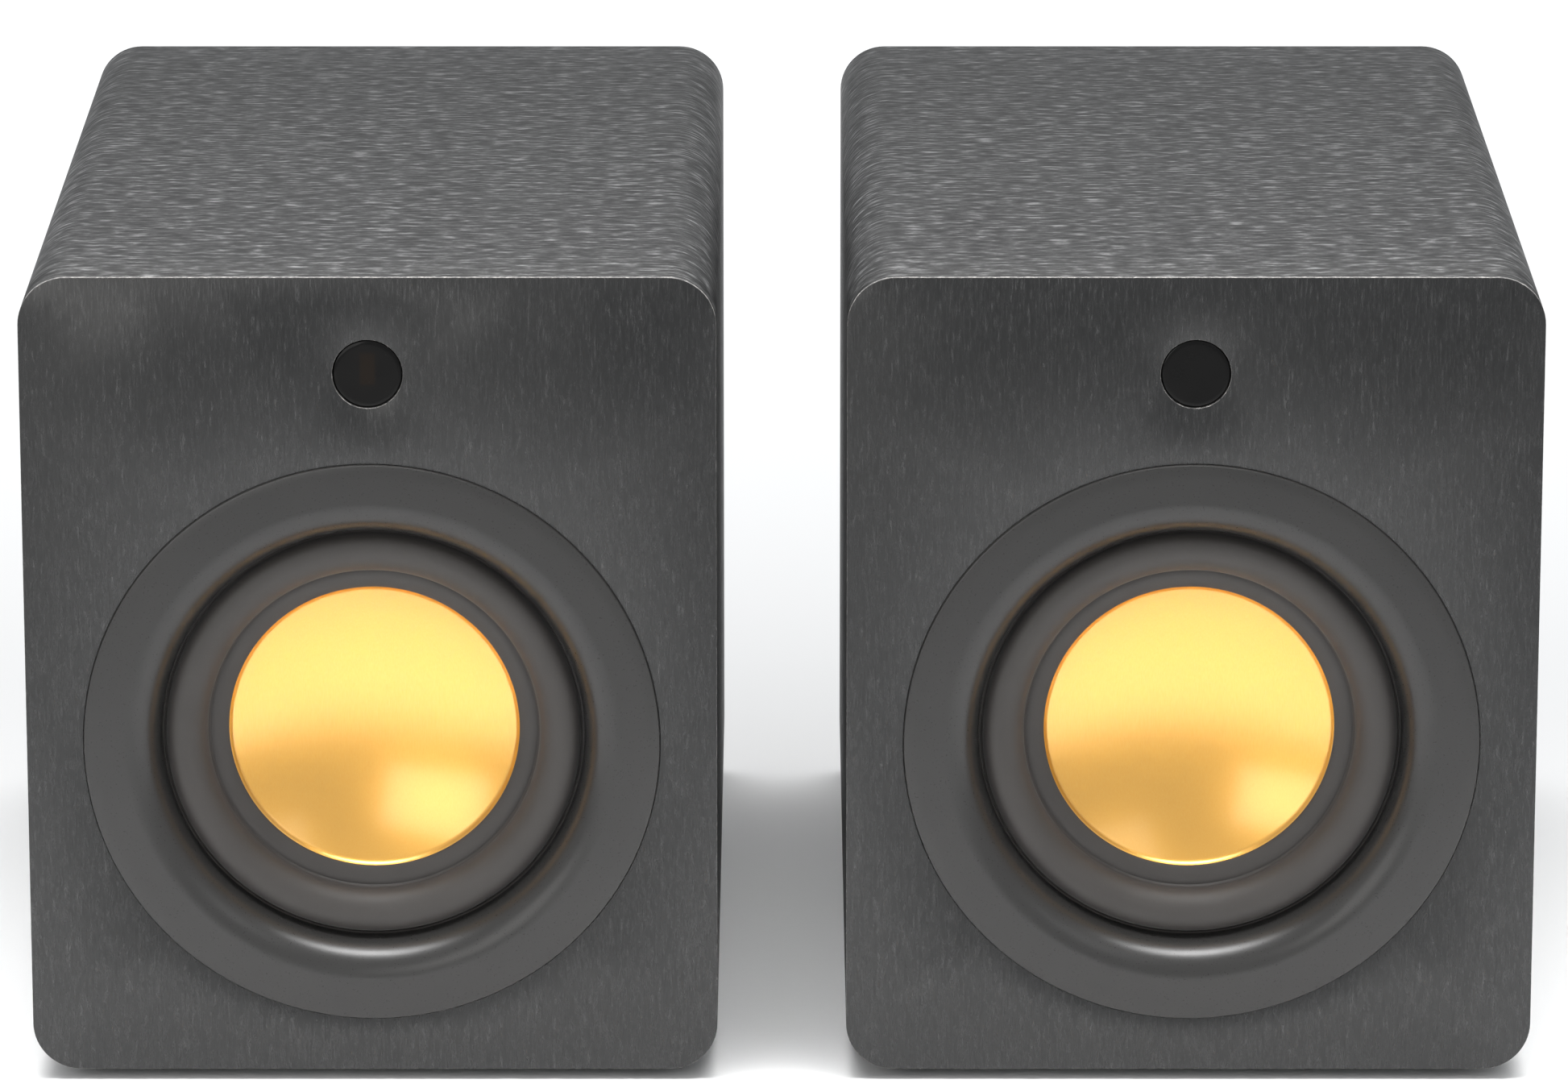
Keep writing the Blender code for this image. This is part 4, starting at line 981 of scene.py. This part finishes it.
def add_amplifier_plate():
    """The active speaker's plate, with round holes and the power module's cutout."""
    node = "amplifier_plate"
    low, high = cad(node)
    inlet_low, inlet_high = cad("power_inlet")
    lap = 0.0022
    module = rounded_outline(
        inlet_low.x + lap, inlet_high.x - lap, inlet_low.z + lap, inlet_high.z - lap, 0.001, 3
    )
    holes = [
        *post_holes("left"),
        circle(*axis_of("volume_shaft"), 0.0033, 32),
        circle(*axis_of("input_button"), 0.0038, 40),
        circle(*axis_of("white_input_jack"), 0.0044, 40),
        circle(*axis_of("red_input_jack"), 0.0044, 40),
        circle(*axis_of("aux_input_jack"), 0.0033, 32),
        module,
    ]
    mesh = sheet_mesh(node, plate_outline(node), holes, low.y, high.y, high.y, 0.0003)
    made = new_object("amplifier_panel", mesh, "left_speaker", [node], PANEL)
    made.data.materials.append(PANEL)
    add_plate_screws(node, "left_speaker", (*CORNERS, (0.0, -1), (-0.1, 1)))


def add_post(side, colour):
    """A gold post with its plug socket, a loose washer and a fluted screw-down nut."""
    name = f"{side}_{colour}"
    x, z = axis_of(f"{name}_post")
    low, high = cad(f"{name}_post")
    washer_low, washer_high = cad(f"{name}_washer")
    nut_low, nut_high = cad(f"{name}_nut")
    collar, collar_end = PLATE_FACE + 0.0003, washer_low.y - 0.0003
    stud, socket, tail = 0.0029, 0.0020, 0.0020
    post = rounded(
        [
            (0.0, low.y),
            (tail, low.y),
            (tail, collar),
            (radius_of(f"{name}_post"), collar),
            (radius_of(f"{name}_post"), collar_end),
            (stud, collar_end),
            (stud, high.y),
            (socket, high.y),
            (socket, collar_end + 0.0004),
            (0.0, collar_end + 0.0004),
        ],
        0.0003,
    )
    body = f"{side}_speaker"
    mesh = turned_mesh(f"{name}_post", post, x, z, 64, closed=False)
    new_object(f"{name}_binding_post", mesh, body, [f"{name}_post"], GOLD_PLATE)
    bore = stud + 0.0003
    edge = radius_of(f"{name}_washer")
    ring = rounded(
        [
            (bore, washer_low.y),
            (edge, washer_low.y),
            (edge, washer_high.y),
            (bore, washer_high.y),
        ],
        0.0002,
    )
    mesh = turned_mesh(f"{name}_washer", ring, x, z, 64)
    new_object(
        f"{name}_loose_washer", mesh, f"{name}_washer", [f"{name}_washer"], GOLD_PLATE
    )
    grip, length = radius_of(f"{name}_nut"), nut_high.y - nut_low.y
    cap = [
        (bore, nut_low.y, 0),
        (grip - 0.0004, nut_low.y, 0),
        (grip, nut_low.y + 0.0003, 0),
        (grip, nut_low.y + 0.0012, 0),
        (grip, nut_low.y + 0.0018, 0.0006),
        (grip, nut_low.y + length * 0.5, 0.0006),
        (grip, nut_high.y - 0.0013, 0.0006),
        (grip - 0.0002, nut_high.y - 0.0007, 0.0004),
        (grip - 0.0007, nut_high.y - 0.0002, 0.0001),
        (grip - 0.0012, nut_high.y, 0),
        (bore + 0.0004, nut_high.y, 0),
        (bore, nut_high.y - 0.0004, 0),
    ]
    mesh = fluted_mesh(f"{name}_nut", cap, x, z, 16)
    finish = RED if colour == "red" else BLACK
    new_object(f"{name}_fluted_nut", mesh, f"{name}_nut", [f"{name}_nut"], finish)


# ---------------------------------------------------------------- amplifier controls
def add_knob():
    """A fluted knob with a flat end and a pale pointer line let into it."""
    low, high = cad("volume_knob")
    x, z = axis_of("volume_knob")
    grip, bore = radius_of("volume_knob"), 0.0033
    shaft_end = cad("volume_shaft")[1].y + 0.0003
    cap = [
        (0.0002, shaft_end, 0),
        (bore, shaft_end, 0),
        (bore, low.y, 0),
        (grip - 0.0003, low.y, 0),
        (grip, low.y + 0.0003, 0),
        (grip, low.y + 0.0020, 0),
        (grip, low.y + 0.0026, 0.00045),
        (grip, high.y - 0.0018, 0.00045),
        (grip - 0.0002, high.y - 0.0010, 0.0003),
        (grip - 0.0008, high.y - 0.0003, 0.00005),
        (grip - 0.0015, high.y, 0),
        (grip * 0.6, high.y, 0),
        (0.0002, high.y, 0),
    ]
    mesh = fluted_mesh("volume_knob", cap, x, z, 36, 6)
    made = new_object(
        "fluted_volume_knob", mesh, "volume_control", ["volume_knob"], KNOB
    )
    groove = bmesh.new()
    reach, width, depth = 0.0048, 0.0009, 0.0004
    place = Matrix.Translation((x, high.y, z + grip - 0.0014 - reach / 2))
    bmesh.ops.create_cube(
        groove, size=1, matrix=place @ Matrix.Diagonal((width, 2 * depth, reach, 1))
    )
    cut_with(made, groove)
    half, top = width * 0.42, z + grip - 0.00175
    foot = z + grip - 0.0013 - reach * 0.95
    points = rounded_outline(x - half, x + half, foot, top, 0.0003, 4)
    bottom, surface = high.y - depth, high.y - depth * 0.3
    mesh = sheet_mesh("pointer", points, [], bottom, surface, surface, 0.00005)
    made = new_object("volume_pointer", mesh, "volume_control", (), WHITE)
    made.data.materials.append(WHITE)


def add_button():
    node = "input_button"
    low, high = cad(node)
    x, z = axis_of(node)
    face, flange, stem = 0.0035, 0.0045, 0.0015
    flange_end = cad("amplifier_plate")[0].y - 0.0003
    profile = [
        (0.0, low.y),
        (stem, low.y),
        (stem, flange_end - 0.0010),
        (flange, flange_end - 0.0010),
        (flange, flange_end),
        (face, flange_end),
        (face, high.y - 0.0002),
    ]
    crown = [(face * t, high.y - 0.0002 * t**2 - 0.00025 * (1 - t)) for t in (0.85, 0.6, 0.3, 0.0)]
    mesh = turned_mesh(node, rounded(profile + crown, 0.0003), x, z, 64, closed=False)
    new_object("round_input_button", mesh, "input_button", [node], KNOB)


def add_phono_jack(node, finish):
    """A plated sleeve round a coloured insert."""
    low, high = cad(node)
    x, z = axis_of(node)
    barrel, bore, split = 0.0041, 0.0016, 0.0034
    body_end = cad("amplifier_plate")[0].y - 0.0003
    sleeve = [
        (split, body_end + 0.0008),
        (barrel, body_end + 0.0008),
        (barrel, high.y),
        (split, high.y),
    ]
    mesh = turned_mesh(f"{node}_sleeve", rounded(sleeve, 0.0002), x, z, 72)
    new_object(f"{node}_sleeve", mesh, "left_speaker", (), PLATED)
    inset = high.y - 0.0006
    body = [
        (0.0, low.y),
        (radius_of(node), low.y),
        (radius_of(node), body_end),
        (barrel - 0.0002, body_end),
        (barrel - 0.0002, body_end + 0.0006),
        (split - 0.0001, body_end + 0.0006),
        (split - 0.0001, inset),
        (bore, inset),
        (bore, high.y - 0.0080),
        (0.0, high.y - 0.0080),
    ]
    mesh = turned_mesh(f"{node}_insert", rounded(body, 0.0002), x, z, 72, closed=False)
    new_object(f"{node}_insert", mesh, "left_speaker", [node], finish)


def add_aux_jack():
    """A black socket with a plated ring nut on the plate."""
    node = "aux_input_jack"
    low, high = cad(node)
    x, z = axis_of(node)
    barrel, bore = 0.0030, 0.0018
    body_end = cad("amplifier_plate")[0].y - 0.0003
    body = [
        (0.0, low.y),
        (radius_of(node), low.y),
        (radius_of(node), body_end),
        (barrel - 0.0003, body_end),
        (barrel - 0.0003, high.y - 0.0001),
        (bore, high.y - 0.0001),
        (bore, high.y - 0.0080),
        (0.0, high.y - 0.0080),
    ]
    mesh = turned_mesh(node, rounded(body, 0.00015), x, z, 64, closed=False)
    new_object("aux_jack_body", mesh, "left_speaker", [node], BLACK)
    nut = [
        (barrel - 0.0002, PLATE_FACE + 0.0001, 0),
        (barrel + 0.0012, PLATE_FACE + 0.0001, 0),
        (barrel + 0.0014, PLATE_FACE + 0.0003, 0.0002),
        (barrel + 0.0014, high.y - 0.0006, 0.0002),
        (barrel + 0.0010, high.y - 0.0003, 0),
        (barrel - 0.0002, high.y - 0.0003, 0),
    ]
    mesh = fluted_mesh("aux_nut", nut, x, z, 24, 6)
    new_object("aux_jack_nut", mesh, "left_speaker", (), PLATED)


def add_power_pins():
    """Plated skins on the mains inlet's two pins."""
    low, high = cad("power_inlet")
    centre = (low.x + high.x) / 2
    height = (low.z + high.z) / 2 - 0.012
    radius, apart = 0.00125, 0.0086
    root, tip = high.y - 0.0128, high.y - 0.0039
    for name, sign in (("left", -1), ("right", 1)):
        profile = [
            (0.0, root),
            (radius, root),
            (radius, tip - 0.0006),
            (radius - 0.00025, tip - 0.0001),
            (radius - 0.00055, tip),
            (0.0, tip),
        ]
        mesh = turned_mesh(
            f"{name}_pin", profile, centre + sign * apart / 2, height, 32, closed=False
        )
        new_object(f"power_inlet_{name}_pin", mesh, "left_speaker", (), PLATED)


def add_rocker():
    """The switch's rocker: the CAD shape with eased edges."""
    node = "power_rocker"
    mesh = frame["nodes"][node].data.copy()
    work = bmesh.new()
    work.from_mesh(mesh)
    bmesh.ops.remove_doubles(work, verts=work.verts, dist=0.00001)
    bmesh.ops.dissolve_limit(
        work, angle_limit=math.radians(2), verts=work.verts, edges=work.edges
    )
    bmesh.ops.bevel(
        work, geom=list(work.edges), offset=0.0004, segments=3, profile=0.5, affect="EDGES"
    )
    work.to_mesh(mesh)
    work.free()
    mesh.materials.clear()
    mesh.shade_smooth()
    mesh.set_sharp_from_angle(angle=math.radians(30))
    new_object("rounded_power_rocker", mesh, "power_rocker", [node], KNOB)


# ---------------------------------------------------------------- everything
KEPT = {
    "{side}_front_baffle": BOARD,
    "{side}_rear_panel": BOARD,
    "{side}_base_pad": FOAM,
    "{side}_basket": BASKET,
    "{side}_spider": CLOTH,
    "{side}_top_plate": STEEL,
    "{side}_magnet": FERRITE,
    "{side}_pole_piece": STEEL,
    "{side}_voice_coil": COPPER,
}
KEPT_LEFT = {
    "amplifier_board": CIRCUIT,
    "heat_sink": SINK,
    "transformer": WINDING,
    "volume_potentiometer": STEEL,
    "volume_shaft": STEEL,
    "power_inlet": BLACK,
    "remote_receiver": EPOXY,
    "status_led": CLEAR,
}

for side in SIDES:
    add_cabinet(side)
    add_fascia(side)
    add_trim_ring(side)
    add_surround(side)
    add_cone(side)
    add_window(side)
    add_port(side)
    for colour in ("red", "black"):
        add_post(side, colour)
    for pattern, finish in KEPT.items():
        finish_node(pattern.format(side=side), finish)
for node, finish in KEPT_LEFT.items():
    finish_node(node, finish)
add_terminal_plate()
add_amplifier_plate()
add_knob()
add_button()
add_phono_jack("white_input_jack", WHITE)
add_phono_jack("red_input_jack", RED)
add_aux_jack()
add_power_pins()
add_rocker()


# ---------------------------------------------------------------- stage, light and camera
def paper_material():
    shade = Shade("pale_paper")
    tone = shade.noise((3, 3, 3), 2.0, 0.5)
    shade.colour(shade.mix(tone, grey(0.86), grey(0.88)))
    shade.fixed(Roughness=0.9, Specular_IOR_Level=0.1)
    return shade.material


def add_floor():
    corners = [(-6, -4, 0), (6, -4, 0), (6, 8, 0), (-6, 8, 0)]
    mesh = mesh_from("floor", corners, [(0, 1, 2, 3)], False)
    floor = bpy.data.objects.new("floor", mesh)
    bpy.context.scene.collection.objects.link(floor)
    floor.data.materials.append(paper_material())


def area_light(name, where, target, size, power, colour=(1, 1, 1)):
    data = bpy.data.lights.new(name, "AREA")
    data.shape = "RECTANGLE"
    data.size, data.size_y = size
    data.energy = power
    data.color = colour
    light = bpy.data.objects.new(name, data)
    bpy.context.scene.collection.objects.link(light)
    light.location = where
    direction = Vector(target) - Vector(where)
    light.rotation_euler = direction.to_track_quat("-Z", "Y").to_euler()
    return light


def add_lights():
    world = bpy.data.worlds.new("studio")
    bpy.context.scene.world = world
    world.use_nodes = True
    background = world.node_tree.nodes["Background"]
    background.inputs["Color"].default_value = (0.96, 0.98, 1.0, 1)
    background.inputs["Strength"].default_value = 0.62
    strip = area_light("overhead_strip", (0.0, -0.19, 0.60), (0, -0.19, 0), (0.8, 0.16), 1.25)
    strip.data.spread = math.radians(60)
    place, target, warm = (-0.40, -0.72, 0.28), (-0.02, -0.12, 0.07), (1.0, 0.98, 0.95)
    area_light("left_panel", place, target, (0.56, 0.32), 0.95, warm)
    area_light("right_panel", (0.55, -0.75, 0.65), (0.05, -0.1, 0.08), (0.5, 0.4), 0.5)
    area_light("floor_wash", (0.0, 1.1, 1.6), (0, 0.9, 0), (2.4, 1.2), 26)


def add_camera():
    """The viewpoint: straight ahead, above, looking down by about fifteen degrees."""
    width = 0.140  # a cabinet's, in which the viewpoint's distances are stated
    data = bpy.data.cameras.new("camera")
    data.sensor_width = 36.0
    data.lens = 205.8
    data.clip_start = 0.05
    data.clip_end = 60
    camera = bpy.data.objects.new("camera", data)
    bpy.context.scene.collection.objects.link(camera)
    bottom = cad("left_cabinet")[0].z
    camera.location = (0.0033 * width, FRONT - 12.465 * width, bottom + 4.161 * width)
    camera.rotation_euler = (math.radians(90 - 15.11), 0, 0)
    bpy.context.scene.camera = camera


add_floor()
add_lights()
add_camera()
bpy.context.scene.view_settings.view_transform = "Standard"
